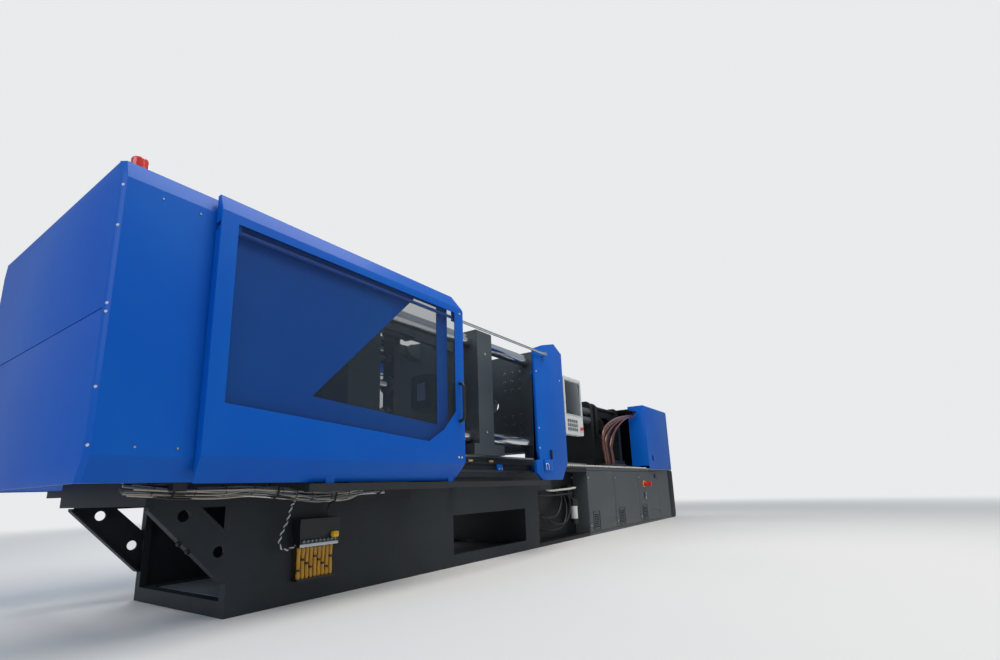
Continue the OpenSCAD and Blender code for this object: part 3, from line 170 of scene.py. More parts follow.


# %% [markdown]
# Nearly all of the machine is powder-coated sheet steel. Powder paint is melted on, so it flows into
# a skin with a very slight orange peel, about 6 mm from crest to crest, and a soft gloss. A clear
# coat layer gives the second, sharper reflection that fresh paint has. The dark frame has a coarser
# structure paint, which hides weld marks and scatters light. The cabinet's frame is one weldment with
# the recess beside it, so its colour changes at one place along X instead of at a seam: up to there
# it is near black, painted shade of the deep recess.


# %% Painted finishes
def powder_coat(name, colour, dusty, roughness, peel_mm, coat):
    """Powder paint: orange peel, a breath of dust in large patches, and its gloss."""
    gloss = {"Coat_Weight": coat, "Coat_Roughness": 0.15, "Specular_IOR_Level": 0.14}
    material, tree, shader = finish_of(name, colour, roughness, **gloss)
    grain(tree, shader, peel_mm, 0.25, strength=0.16)
    blotches(tree, shader, colour, dusty, 700)
    return material


def structure_paint(name, colour, dusty, roughness):
    """Coarse structure paint: 2 mm grains drawn at 5 mm, so that they still show from a few metres."""
    material, tree, shader = finish_of(name, colour, roughness, Specular_IOR_Level=0.3)
    grain(tree, shader, 5, 0.4, detail=6.0, strength=0.35)
    blotches(tree, shader, colour, dusty, 450, (0.45, 0.8))
    return material


def frame_with_painted_shade(name, border, before, after):
    """One welded frame in structure paint: up to border along X a pair of colours that paints shade, then
    another.
    """
    material, tree, shader = finish_of(name, after[0], 0.48, Specular_IOR_Level=0.3)
    noise = grain(tree, shader, 5, 0.4, detail=6.0, strength=0.35)
    place = node(tree, "TexCoord").outputs["Object"]
    along = node(tree, "SeparateXYZ", {"Vector": place}).outputs["X"]
    beyond = node(tree, "Math", {0: along, 1: border}, operation="GREATER_THAN").outputs["Value"]
    coats = []
    for dark, light in (before, after):
        speckle = {"Factor": noise.outputs["Fac"], "A": linear(dark), "B": linear(light)}
        coats.append(node(tree, "Mix", speckle, data_type="RGBA").outputs["Result"])
    mix = node(tree, "Mix", {"Factor": beyond, "A": coats[0], "B": coats[1]}, data_type="RGBA")
    tree.links.new(mix.outputs["Result"], shader.inputs["Base Color"])
    return material


def casting_enamel(name, colour, dusty):
    """Brushed enamel over a sand casting: the sand's 12 mm waves stay visible under the paint."""
    material, tree, shader = finish_of(name, colour, 0.42, Coat_Weight=0.15, Coat_Roughness=0.25)
    grain(tree, shader, 12, 0.8, detail=4.0, strength=0.35)
    blotches(tree, shader, colour, dusty, 300, (0.45, 0.75))
    return material


BLUE, BLUE_DUST = "#0054B6", "#045AB8"
blue_coat = powder_coat("satin_blue_powder_coat", BLUE, BLUE_DUST, 0.4, 6, 0.07)
frame_coat = structure_paint("anthracite_structure_paint", "#20252A", "#2A2F34", 0.5)
cabinet_coat = structure_paint("slate_grey_structure_paint", "#484D50", "#4F5457", 0.46)
# Black paint for the drives and housings; on the carriage and on the strip under the deck's edge it is
# painted shade.
black_paint_and_painted_shade = structure_paint("black_structure_paint", "#0C0F12", "#14171A", 0.5)
# The end post is near black as painted shade, where the blue cover's overhang shades it.
end_post_painted_shade = structure_paint("jet_black_structure_paint", "#05080B", "#0A0D10", 0.55)
CAB_X = 5.489
# The first pair is painted shade: the frame is near black where it lines the deep recess.
RECESS_PAINTED_SHADE, CABINET_GREYS = ("#0E1114", "#181B1E"), ("#464B4E", "#4E5356")
cabinet_frame_with_recess_shade = frame_with_painted_shade(
    "slate_and_black_structure_paint", LEFT + CAB_X, RECESS_PAINTED_SHADE, CABINET_GREYS
)
casting_coat = casting_enamel("grey_casting_enamel", "#3B4348", "#454D52")
print("paints", blue_coat.name, frame_coat.name, cabinet_frame_with_recess_shade.name, casting_coat.name)


# %% [markdown]
# Bars and rods are hard chromed and ground, so they mirror the room with a faint haze. Ways, rails
# and screws are ground steel, whose fine scratches run one way: noise stretched along one axis
# draws them. The links are phosphated forgings, dark and matt with an oily sheen. The door's guide rod
# is bare and bright where it can be seen, and coated in the covers' blue behind the fixed cover.


# %% Metals
def ground_metal(name, colour, roughness, stretch, scratch_mm=2, relief=0.25):
    """Bare metal with scratches along one axis; the stretch is small along the scratches."""
    material, tree, shader = finish_of(name, colour, roughness, metallic=1.0)
    noise = grain(tree, shader, scratch_mm, 0.05, detail=2.0, strength=relief, stretch=stretch)
    spread = {"Value": noise.outputs["Fac"], "To Min": roughness * 0.7, "To Max": roughness * 1.4}
    shine = node(tree, "MapRange", spread)
    tree.links.new(shine.outputs["Result"], shader.inputs["Roughness"])
    return material


chrome = ground_metal("hard_chrome", "#D9DBDD", 0.15, (1, 0.05, 0.05), 6, 0.04)
steel = ground_metal("ground_steel", "#A7ABAE", 0.34, (0.03, 1, 1))
bright_teeth, tree, shader = finish_of("galvanised_grip_teeth", "#DEDCD3", 0.5, metallic=0.25)
grain(tree, shader, 3, 0.05)


def rod_and_rail(name, above, bright_from):
    """Door guides: a rod above the given height, bright from bright_from on, over a black rail."""
    material, tree, shader = finish_of(name, "#C9CCCE", 0.25, metallic=1.0)
    place = node(tree, "TexCoord").outputs["Object"]
    apart = node(tree, "SeparateXYZ", {"Vector": place}).outputs
    is_rod = node(tree, "Math", {0: apart["Z"], 1: above}, operation="GREATER_THAN").outputs["Value"]
    past = node(tree, "Math", {0: apart["X"], 1: bright_from}, operation="GREATER_THAN").outputs["Value"]
    bare = node(tree, "Math", {0: is_rod, 1: past}, operation="MULTIPLY").outputs["Value"]
    noise = node(tree, "TexNoise", {"Vector": place, "Scale": 1000 / 5, "Detail": 4.0})
    speckle = {"Factor": noise.outputs["Fac"], "A": linear("#14171A"), "B": linear("#1D2124")}
    worn = node(tree, "Mix", speckle, data_type="RGBA")
    rod = node(tree, "Mix", {"Factor": past, "A": linear(BLUE), "B": linear("#C9CCCE")}, data_type="RGBA")
    both = {"Factor": is_rod, "A": worn.outputs["Result"], "B": rod.outputs["Result"]}
    colour = node(tree, "Mix", both, data_type="RGBA")
    tree.links.new(colour.outputs["Result"], shader.inputs["Base Color"])
    tree.links.new(bare, shader.inputs["Metallic"])
    rough = node(tree, "MapRange", {"Value": bare, "To Min": 0.5, "To Max": 0.2})
    tree.links.new(rough.outputs["Result"], shader.inputs["Roughness"])
    bump = node(tree, "Bump", {"Height": noise.outputs["Fac"], "Distance": 0.0002, "Strength": 0.3})
    tree.links.new(bump.outputs["Normal"], shader.inputs["Normal"])
    return material


RAIL_BELOW, ROD_BARE_FROM = 1.5, LEFT + 2.37
guide_finish = rod_and_rail("ground_rod_on_black_rail", RAIL_BELOW, ROD_BARE_FROM)
forging, tree, shader = finish_of("phosphated_forging", "#34383A", 0.45, metallic=0.55)
grain(tree, shader, 8, 0.6, strength=0.3)
blotches(tree, shader, "#34383A", "#45494B", 120)
heater_skin = ground_metal("stainless_heater_band", "#B9B2A6", 0.28, (1, 0.05, 0.05), 4)


def tread_metal(cell_mm=36):
    """Aluminium tread plate: raised bars that turn by a right angle from one cell to the next."""
    material, tree, shader = finish_of("aluminium_tread_plate", "#B9BDC0", 0.36, metallic=0.9)
    place = node(tree, "TexCoord").outputs["Object"]
    cells = node(tree, "TexChecker", {"Vector": place, "Scale": 1000 / cell_mm}).outputs["Fac"]
    bars = []
    for degrees in (45, -45):
        turned = node(tree, "Mapping", {"Vector": place, "Rotation": (0, 0, math.radians(degrees))})
        stripes = {"Vector": turned.outputs["Vector"], "Scale": 1000 / cell_mm / 2}
        bars.append(node(tree, "TexWave", stripes).outputs["Fac"])
    pick = node(tree, "Mix", {"Factor": cells, "A": bars[0], "B": bars[1]})
    raised = node(tree, "MapRange", {"Value": pick.outputs["Result"], "From Min": 0.6, "From Max": 0.75})
    bump = node(tree, "Bump", {"Height": raised.outputs["Result"], "Distance": 0.002, "Strength": 0.9})
    tree.links.new(bump.outputs["Normal"], shader.inputs["Normal"])
    return material


tread = tread_metal()
print("metals", chrome.name, steel.name, forging.name, tread.name)


# %% [markdown]
# Plastics differ in how they were made. Moulded ABS and rubber scatter light; polycarbonate panes are
# smooth on both sides and tinted through, so they darken what is behind and still mirror the room.
# The flow tubes are clear polysulphone, amber by nature.


# %% Plastics, rubber and panes
def moulded(name, colour, roughness, grain_mm=3, **sockets):
    """Moulded plastic or rubber with the spark-eroded grain of its mould."""
    material, tree, shader = finish_of(name, colour, roughness, **sockets)
    grain(tree, shader, grain_mm, 0.15, strength=0.25)
    return material


black_plastic = moulded("black_glass_filled_nylon", "#17191B", 0.48)
rubber = moulded("black_epdm_gasket", "#101112", 0.6)
light_plastic = moulded("light_grey_abs", "#C9CDCF", 0.4)
red_plastic = moulded("red_polycarbonate", "#CE2E1C", 0.22, Coat_Weight=0.5)
yellow_plastic = moulded("yellow_abs", "#E8B81C", 0.35)
tray_grey = moulded("slate_polyethylene_tray", "#5B656D", 0.4)
cable_grey = moulded("grey_pvc_sheath", "#6A6E70", 0.45)
cable_black = moulded("black_pvc_sheath", "#1B1C1E", 0.4)
cable_white = moulded("white_pvc_sheath", "#C4C6C2", 0.45)
cable_beige = moulded("beige_pvc_sheath", "#A2998A", 0.45)
copper_brown = moulded("copper_brown_conduit", "#64301A", 0.22, 4, Coat_Weight=0.8)
# A near-black matt finish that paints the shade inside the injection cover.
painted_shade_liner = moulded("black_acoustic_foam", "#0B0C0D", 0.95, 8, Specular_IOR_Level=0.1)


def smoked(name, colour, straight_on, edge_on):
    """A thin tinted sheet that hides less straight on than at a glancing look, as glass does."""
    material, tree, shader = finish_of(name, colour, 0.04, Coat_Weight=0.4, Coat_Roughness=0.02)
    glance = node(tree, "LayerWeight", {"Blend": 0.35})
    tint = {"Value": glance.outputs["Facing"], "To Min": straight_on, "To Max": edge_on}
    share = node(tree, "MapRange", tint)
    tree.links.new(share.outputs["Result"], shader.inputs["Alpha"])
    return material


def clear(name, colour, roughness, transmission, ior):
    """A clear plastic that lets most light through, tinted by its base colour."""
    material, tree, shader = finish_of(name, colour, roughness, Transmission_Weight=transmission, IOR=ior)
    grain(tree, shader, 260, 0.6, detail=1.0, strength=0.05)
    return material


smoke_pane = smoked("smoke_tinted_polycarbonate", "#25303C", 0.1, 0.42)
amber_tube = clear("amber_polysulphone", "#F7BE38", 0.08, 0.55, 1.45)
screen_glass, _, _ = finish_of("dark_touch_glass", "#0B0E12", 0.06, Coat_Weight=1.0)
print("plastics", black_plastic.name, rubber.name, copper_brown.name, smoke_pane.name)

# %% [markdown]
# Every solid keeps its place and gets the finish of the real piece. The table is by finish, so that
# it reads like a paint list.

# %% Paint list
PAINT = {
    blue_coat: "end_cover_lower end_cover_upper front_cover rear_cover roof_strip operator_door rear_door "
    "front_post_cover rear_post_cover injection_cover",
    frame_coat: "clamp_bed cover_beams terminal_arm",
    cabinet_frame_with_recess_shade: "cabinet_frame",
    cabinet_coat: "cabinet_door_1 cabinet_door_2 cabinet_door_3",
    # The end post's near black is painted shade under the cover's overhang.
    end_post_painted_shade: "cabinet_end_post",
    # The carriage is black as painted shade inside the injection cover.
    black_paint_and_painted_shade: "clamp_cylinder ejector_housing injection_drive carriage",
    casting_coat: "fixed_platen moving_platen tail_stock injection_cylinders",
    chrome: "tie_bars piston_rod screw",
    steel: "clamp_ways ejector_plate injection_rails nozzle",
    guide_finish: "front_door_guides rear_door_guides",
    forging: "rear_link_upper rear_link_lower front_link_upper front_link_lower cross_link_upper "
    "cross_link_lower crosshead front_nuts rear_nuts barrel",
    heater_skin: "heater_bands",
    tread: "tread_plate",
    red_plastic: "beacon main_switch stop_button",
    black_plastic: "operator_door_handle flow_unit recess_hydraulics",
    light_plastic: "terminal",
    amber_tube: "flow_tubes",
    smoke_pane: "front_cover_window operator_door_window rear_door_window",
    copper_brown: "hose_bundle",
    cable_grey: "cable_loom",
}
for finish, names in PAINT.items():
    for name in names.split():
        nodes[name].data.materials.clear()
        nodes[name].data.materials.append(finish)
print("painted", sum(len(names.split()) for names in PAINT.values()), "of", len(nodes))

# %% [markdown]
# Folded sheet metal is never sharp: a bend in 4 mm sheet has a radius of its own thickness or more,
# and that line of changing light is what makes a cover look folded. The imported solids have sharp
# bends, so each cover is copied, its loose triangles are merged back into whole faces, and its bends
# are rounded with bevel. A cut edge of the sheet only loses its burr.


# %% Mesh helpers
def from_bmesh(work, name, body, finish, smooth=None):
    """Turns a bmesh into a piece that rides on a body; edges under smooth degrees are shaded round."""
    if smooth is not None:
        for face in work.faces:
            face.smooth = True
        for edge in work.edges:
            edge.smooth = edge.calc_face_angle(0) < math.radians(smooth)
    data = bpy.data.meshes.new(name)
    work.to_mesh(data)
    work.free()
    data.materials.append(finish)
    piece = bpy.data.objects.new(name, data)
    bpy.context.scene.collection.objects.link(piece)
    if body:
        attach(piece, body)
    return piece


def rounded(work, edges, radius, segments, **more):
    """Rounds edges. The operator's defaults differ from the editor's, so each setting is given."""
    bmesh.ops.bevel(
        work, geom=edges, offset=radius, affect="EDGES", segments=segments, profile=0.5, material=-1, **more
    )


def upright(place, axis):
    """Matrix that stands a shape made along Z on a place, along an axis."""
    turn = Vector((0, 0, 1)).rotation_difference(Vector(axis))
    return Matrix.Translation(place) @ turn.to_matrix().to_4x4()


def block(work, centre, size):
    """Adds a block of a size round its centre."""
    bmesh.ops.create_cube(work, size=1, matrix=Matrix.Translation(centre) @ Matrix.Diagonal((*size, 1)))


def block_between(work, low, high):
    """Adds a block between its lowest and highest corners."""
    block(work, (low + high) / 2, high - low)


def cone(work, stand, radius, top_radius, height, sides, closed=True):
    """Adds a cone or a cylinder along the Z of the matrix stand; returns its vertices."""
    made = bmesh.ops.create_cone(
        work, cap_ends=closed, segments=sides, radius1=radius, radius2=top_radius, depth=height, matrix=stand
    )
    return made["verts"]


def corners(geometry):
    """The vertices among what an operator returned."""
    return [g for g in geometry if isinstance(g, bmesh.types.BMVert)]


def whole_faces(name):
    """A bmesh of a solid's own mesh, with its triangles merged back into flat faces."""
    work = bmesh.new()
    work.from_mesh(nodes[name].data)
    bmesh.ops.remove_doubles(work, verts=work.verts, dist=0.00001)
    bmesh.ops.dissolve_limit(work, angle_limit=math.radians(0.5), verts=work.verts, edges=work.edges)
    return work


def is_rim(face, sheet):
    """True for the narrow cut edge of a sheet."""
    longest = max(edge.calc_length() for edge in face.edges)
    return face.calc_area() / longest < sheet * 1.3


def softened(name, bend, burr, sheet=0.004):
    """Copies a solid with its bends rounded to bend and its cut edges to burr, and replaces it."""
    work = whole_faces(name)
    rims = {f for f in work.faces if is_rim(f, sheet)}
    sharp = [e for e in work.edges if len(e.link_faces) == 2 and e.calc_face_angle(0) > math.radians(18)]
    cut = [e for e in sharp if any(f in rims for f in e.link_faces)]
    folds = [e for e in sharp if not any(f in rims for f in e.link_faces)]
    rounded(work, folds, bend, 3, clamp_overlap=True)
    rounded(work, [e for e in cut if e.is_valid], burr, 1, clamp_overlap=True)
    piece = from_bmesh(work, name + "_skin", body_of_node[name], nodes[name].data.materials[0], smooth=35)
    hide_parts(name)


# %% [markdown]
# The blue covers are 4 mm sheet with a bend of 7 mm. The cabinet's doors are folded from 3 mm sheet,
# so their bends are tighter. The terminal's case is moulded, and a small radius is enough for it.

# %% Round the covers' bends
covers, cabinet_doors = PAINT[blue_coat].split(), PAINT[cabinet_coat].split()
for name in covers:
    softened(name, 0.007, 0.0007)
for name in cabinet_doors:
    softened(name, 0.0025, 0.0006, sheet=0.003)
softened("cabinet_end_post", 0.006, 0.0008)
softened("terminal", 0.003, 0.0008)
print("softened", len(covers), "covers,", len(cabinet_doors), "cabinet doors, the end post and the terminal")

# %% [markdown]
# Hoses and cables are drawn as one ring of corners that is extruded along a route, step by step, and
# turned with it. Catmull-Rom curves give a smooth route through a few chosen points. A corrugated hose
# only changes the ring's size from step to step, so its ribs are real and catch the light.


# %% Routes and swept tubes
def smooth_route(points, steps):
    """Points on a smooth line through the given ones, with this many steps between two of them."""
    p = [Vector(q) for q in points]
    route = []
    for i in range(len(p) - 1):
        a, b, c, d = p[max(i - 1, 0)], p[i], p[i + 1], p[min(i + 2, len(p) - 1)]
        for t in (s / steps for s in range(steps)):
            bow = (c - a) * t + (2 * a - 5 * b + 4 * c - d) * t**2 + (3 * b - a - 3 * c + d) * t**3
            route.append(b + 0.5 * bow)
    return route + [p[-1]]


def swept(work, route, radius, sides=8):
    """Extrudes a ring along a route; radius is a number, or a function of the step."""
    size = radius if callable(radius) else lambda step: radius
    heading = (route[1] - route[0]).normalized()
    start = upright(route[0], heading)
    ring = bmesh.ops.create_circle(work, cap_ends=True, segments=sides, radius=size(0), matrix=start)
    edges = list({e for v in ring["verts"] for e in v.link_edges})
    for step in range(1, len(route)):
        ahead = (route[min(step + 1, len(route) - 1)] - route[step - 1]).normalized()
        grown = bmesh.ops.extrude_edge_only(work, edges=edges)["geom"]
        verts = set(corners(grown))
        edges = [g for g in grown if isinstance(g, bmesh.types.BMEdge) and verts.issuperset(g.verts)]
        move = (
            Matrix.Translation(route[step])
            @ heading.rotation_difference(ahead).to_matrix().to_4x4()
            @ Matrix.Scale(size(step) / size(step - 1), 4)
            @ Matrix.Translation(-route[step - 1])
        )
        bmesh.ops.transform(work, matrix=move, verts=list(verts))
        heading = ahead
    bmesh.ops.contextual_create(work, geom=edges)


def at(x, y, z):
    """A point given from the left edge of the covers, as the machine's drawings do."""
    return Vector((LEFT + x, y, z))


def tubes(name, body, finish, *lines, sides=8):
    """One piece of several tubes; each line is a route and a radius."""
    work = bmesh.new()
    for route, radius in lines:
        swept(work, route, radius, sides)
    bmesh.ops.recalc_face_normals(work, faces=work.faces)
    return from_bmesh(work, name, body, finish, smooth=40)


# %% [markdown]
# The hoses of the injection unit are copper-brown corrugated conduits with a few black ones between
# them. Their ribs are drawn at 24 mm, twice the real pitch, so that they show from eight metres away.
# They hang from the plate on the carriage and lie down on the deck in front of it. The carriage slides,
# but the hoses here ride on no body and stay where they are drawn.

# %% Corrugated hoses
RIB_PITCH, RIB_DEPTH, HOSE_R, HOSE_SIDES = 0.024, 0.005, 0.0185, 10
HOSE_LINE = [  # X from the plate, share of the fan, height
    (-0.10, 0, 1.846), (-0.13, 0, 1.78), (-0.30, 0.1, 1.765), (-0.58, 0.3, 1.705), (-0.87, 0.65, 1.59),
    (-1.10, 0.95, 1.44), (-1.2, 1, 1.3), (-1.19, 1, 1.15), (-1.16, 1, 1.04), (-1.15, 1, 0.94),
]
HOSE_TOP_X, HOSE_FIRST_Y, HOSE_PITCH, HOSE_FAN, ARCH_ABOVE = 7.964, -0.324, 0.04, 0.12, 1.2
HOSE_LAYERS = [(0, 0, 0), (-0.05, -0.02, 0.045), (0.3, 0.015, -0.08), (0.13, 0.02, -0.03)]
PER_LAYER = 4
COPPER_HOSES, BLACK_HOSES = (0, 1, 3, 4, 5, 7, 9, 11, 12, 14, 15), (2, 6, 8, 10, 13)


def hose_route(k, layer):
    """Route of hose k in its layer, cut into steps of half a rib."""
    dx, dy, dz = layer
    points = []
    for x, fan, z in HOSE_LINE:
        lift = dz * fan if z > ARCH_ABOVE else 0
        across = HOSE_FIRST_Y - k * HOSE_PITCH + dy * fan
        points.append(at(HOSE_TOP_X + x - k * HOSE_FAN * fan + dx * fan, across, z + lift))
    rough = smooth_route(points, 12)
    length = sum((b - a).length for a, b in zip(rough, rough[1:]))
    per_span = max(2, round(length / (len(points) - 1) / (RIB_PITCH / 2)))
    return smooth_route(points, per_span)


for finish, label, picks in ((copper_brown, "copper", COPPER_HOSES), (cable_black, "black", BLACK_HOSES)):
    work = bmesh.new()
    for pick in picks:
        route = hose_route(pick % PER_LAYER, HOSE_LAYERS[pick // PER_LAYER])
        swept(work, route, lambda step: HOSE_R - (RIB_DEPTH if step % 2 else 0), HOSE_SIDES)
    bmesh.ops.recalc_face_normals(work, faces=work.faces)
    hoses = from_bmesh(work, "conduits_" + label, None, finish, smooth=180)
    if label == "copper":
        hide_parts("hose_bundle")
    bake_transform(hoses)
print("conduits", len(COPPER_HOSES) + len(BLACK_HOSES))
work = bmesh.new()
block_between(work, at(6.35, -0.471, 0.89), at(7.21, -0.301, 0.94))
rounded(work, work.edges[:], 0.004, 2)
from_bmesh(work, "conduit_clamp", "root", black_plastic, smooth=30)

# %% [markdown]
# Under the cover's edge hangs the machine's main loom: some thirty sheathed cables, laid in by hand, so
# no two lie alike. Each strand is the same route with its own slow wander and a little sag, and the
# ties that gather them are thin black rings. The wander uses a fixed seed, so it is the same in every
# run.

# %% Cable loom
LOOM_LINE = [
    (0.20, -0.795, 0.690), (0.42, -0.785, 0.672), (0.60, -0.79, 0.670), (0.78, -0.785, 0.674),
    (0.97, -0.79, 0.656), (1.07, -0.785, 0.638), (1.22, -0.785, 0.622), (1.38, -0.785, 0.632),
    (1.52, -0.785, 0.656), (1.72, -0.785, 0.668),
]
LOOM_SPREAD, LOOM_STEPS, LOOM_STRANDS, LOOM_SAG, FLATTER = 0.038, 6, 32, 0.012, 0.7
LOOM_MIX = (cable_grey, cable_beige, cable_black, cable_grey, cable_black, cable_white, cable_beige)
dice = random.Random(7)


def wandering(line, spread, reach):
    """The loom's route for one strand: a place in the bundle that drifts slowly along it."""
    angle, away = dice.uniform(0, math.tau), spread * math.sqrt(dice.random())
    points = []
    for x, y, z in line:
        angle += dice.uniform(-0.9, 0.9)
        shift, sag = dice.uniform(-0.02, 0.02), dice.random() * LOOM_SAG
        offset = Vector((shift, math.cos(angle) * away, math.sin(angle) * away * FLATTER - sag))
        points.append(at(x, y, z) + offset)
    return smooth_route(points[: max(4, round(len(points) * reach))], LOOM_STEPS)


strands = {cable_grey: [], cable_black: [], cable_white: [], cable_beige: []}
for number in range(LOOM_STRANDS):
    reach = dice.uniform(0.85, 1)
    route = wandering(LOOM_LINE, LOOM_SPREAD, reach)
    strands[LOOM_MIX[number % len(LOOM_MIX)]].append((route, dice.uniform(0.0032, 0.0058)))
for sheath, lines in strands.items():
    piece = tubes("loom_" + sheath.name.split("_")[0], "root", sheath, *lines, sides=6)
    if sheath is cable_grey:
        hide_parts("cable_loom")
print("loom", {sheath.name: len(lines) for sheath, lines in strands.items()})

# %% [markdown]
# A tie is pulled tight round the bundle, so it is a closed ring that is a little flatter than a
# circle. The hooks are bent from 10 mm bar: each one comes from behind, passes under the bundle and
# turns up in front of it.


# %% Ties and hooks of the loom
def ring_route(centre, radius, steps=14, flat=0.72, lean=0.002):
    """A closed ring across the machine's length, a little flattened as a pulled tie is."""
    turn = [math.tau * k / steps for k in range(steps + 1)]
    ring = [(lean * math.sin(a), radius * math.cos(a), radius * flat * math.sin(a)) for a in turn]
    return [centre + Vector(point) for point in ring]


TIE_R, TIE_WIRE, TIE_EVERY, HOOK_WIRE = 0.0375, 0.0022, 5, 0.005
HOOK_AT = (0.39, 0.92, 1.31, 1.66)
HOOK_SHAPE = [(0, 0.10, 0.045), (0, 0.045, 0.04), (0, 0.03, -0.03), (0, -0.03, -0.03), (0, -0.045, 0.02)]
spine = smooth_route([at(*p) for p in LOOM_LINE], LOOM_STEPS)
ties = [(ring_route(spine[k], TIE_R), TIE_WIRE) for k in range(3, len(spine), TIE_EVERY)]
tubes("loom_ties", "root", cable_black, *ties, sides=6)
hooks = []
for x in HOOK_AT:
    near = min(spine, key=lambda p: abs(p.x - LEFT - x))
    hooks.append((smooth_route([near + Vector(bend) for bend in HOOK_SHAPE], 4), HOOK_WIRE))
tubes("loom_hooks", "root", black_paint_and_painted_shade, *hooks, sides=6)
print("loom ties", len(ties), "hooks", len(hooks))

# %% [markdown]
# A twisted pair, one white and one black, drops from the loom to the water-flow unit. Two strands
# turn about the same line, half a turn apart: each point of the line is moved sideways by a turning
# offset.

# %% Twisted pair and tap lead
PAIR_LINE = [
    (1.02, -0.77, 0.635), (1.085, -0.735, 0.618), (1.112, -0.66, 0.575), (1.108, -0.63, 0.49),
    (1.075, -0.625, 0.41), (1.07, -0.622, 0.355), (1.11, -0.622, 0.322), (1.19, -0.61, 0.34),
]
TAP_LINE = [
    (1.36, -0.77, 0.615), (1.375, -0.70, 0.60), (1.405, -0.615, 0.55), (1.415, -0.60, 0.47),
    (1.40, -0.60, 0.40),
]
PAIR_R, TAP_R = 0.0042, 0.0045


def twisted(line, phase, lay_m=0.045, gap=PAIR_R):
    """One strand of a pair: it turns once about the line in every lay_m metres."""
    route, run, points = smooth_route([at(*p) for p in line], 9), 0.0, []
    for a, b in zip(route, route[1:]):
        along = (b - a).normalized()
        side = along.cross(Vector((0, 1, 0.2))).normalized()
        turn = math.tau * run / lay_m + phase
        points.append(a + gap * (side * math.cos(turn) + along.cross(side) * math.sin(turn)))
        run += (b - a).length
    return points


tubes("pair_white", "root", cable_white, (twisted(PAIR_LINE, 0.0), PAIR_R), sides=6)
tubes("pair_black", "root", cable_black, (twisted(PAIR_LINE, math.pi), PAIR_R), sides=6)
tubes("tap_lead", "root", cable_black, (smooth_route([at(*p) for p in TAP_LINE], 5), TAP_R))
print("pair ends at", PAIR_LINE[-1], "tap lead ends at", TAP_LINE[-1])

# %% [markdown]
# Screws hold the covers, the doors and the platens. A head is a short cone with its top face inset
# and sunk, which reads as a socket. Twelve sides are enough for a head that is seen from a few metres.


# %% Screw heads
def screw_heads(name, body, finish, size, axis, places, sunk=0.6):
    """Socket heads of a radius and height that stand on their places; the axis points outwards."""
    work, axis = bmesh.new(), Vector(axis).normalized()
    radius, height = size
    for place in places:
        head = cone(work, upright(place + axis * height / 2, axis), radius, radius * 0.85, height, 12)
        faces = {f for v in head for f in v.link_faces}
        top = max(faces, key=lambda f: f.calc_center_median().dot(axis))
        bmesh.ops.inset_region(work, faces=[top], thickness=radius * 0.34)
        bmesh.ops.translate(work, verts=top.verts, vec=-axis * height * sunk)
    from_bmesh(work, name, body, finish, smooth=30)


def on_wall(y, places):
    """Points of an upright wall at y, from their X and Z."""
    return [at(x, y, z) for x, z in places]


COVER_HALF, BED_HALF, DOOR_FACE, BED_X = 0.940, 0.557, 1.002, 0.803
STRIP_MID, STRIP_OUT = (0.001, 0.927), (-0.82, 0.57)
SEAM_HEIGHTS = (2.03, 1.83, 1.465, 1.427, 1.1, 0.86)
SIDE_SCREWS = [(x, z) for x in (0.16, 0.33) for z in (2.03, 0.86)]
POST_SCREWS = [(3.63, 1.79), (3.632, 1.21), (3.632, 1.012), (4.13, 1.767)]
STILE_SCREWS = [(2.28, 0.875), (2.315, 0.875), (2.315, 2.03)]
SEAM_HEAD, SIDE_HEAD, COVER_HEAD = (0.007, 0.003), (0.006, 0.003), (0.008, 0.004)
TO_OPERATOR = (0, -1, 0)
for side, word in ((-1, "front"), (1, "rear")):
    seam = [at(STRIP_MID[0], side * STRIP_MID[1], z) for z in SEAM_HEIGHTS]
    strip_out = (STRIP_OUT[0], side * STRIP_OUT[1], 0)
    screw_heads(f"seam_screws_{word}", "root", light_plastic, SEAM_HEAD, strip_out, seam)
    on_side, on_post = (on_wall(side * COVER_HALF, places) for places in (SIDE_SCREWS, POST_SCREWS))
    screw_heads(f"side_screws_{word}", "root", steel, SIDE_HEAD, (0, side, 0), on_side)
    screw_heads(f"post_screws_{word}", "root", light_plastic, COVER_HEAD, (0, side, 0), on_post)
stile = on_wall(-DOOR_FACE, STILE_SCREWS)
screw_heads("door_screws", "front_door_body", light_plastic, COVER_HEAD, TO_OPERATOR, stile)
print("cover screws", 2 * (len(SEAM_HEIGHTS) + len(SIDE_SCREWS) + len(POST_SCREWS)) + len(STILE_SCREWS))

# %% [markdown]
# The mould is clamped to the platens by threaded holes. Each hole has a small turned chamfer, a
# bright ring around a dark bore, and those rings are what one sees from a few metres away.

# %% Chamfer rings and platen screws
AXIS_Z, HOLE_OFF, HOLE_PITCH = 1.605, (0.28, 0.26), 0.105
FIXED_FACE, MOVING_FACE, RING_DEPTH = 4.2, 3.344, 0.0012
hole_places = [
    (sy * HOLE_OFF[0] + i * HOLE_PITCH, AXIS_Z + sz * HOLE_OFF[1] + j * HOLE_PITCH)
    for sy in (-1, 1)
    for sz in (-1, 1)
    for i in (-1, 0, 1)
    for j in (-1, 0, 1)
]


def chamfer_rings(name, body, face_x, out):
    """A thin bright ring round every threaded hole of a mould face that looks along X towards out."""
    work = bmesh.new()
    for y, z in hole_places:
        stand = upright(at(face_x + out * RING_DEPTH / 2, y, z), (out, 0, 0))
        cone(work, stand, 0.0145, 0.0105, RING_DEPTH, 14, closed=False)
    from_bmesh(work, name, body, steel, smooth=20)


chamfer_rings("hole_rings_fixed", "root", FIXED_FACE, -1)
chamfer_rings("hole_rings_moving", "platen", MOVING_FACE, 1)
platen_side = [at(3.22, -0.5925, z) for z in (1.17, 1.95)]
screw_heads("platen_side_screws", "platen", steel, (0.012, 0.008), TO_OPERATOR, platen_side)
print("threaded holes", len(hole_places), "in each mould face")


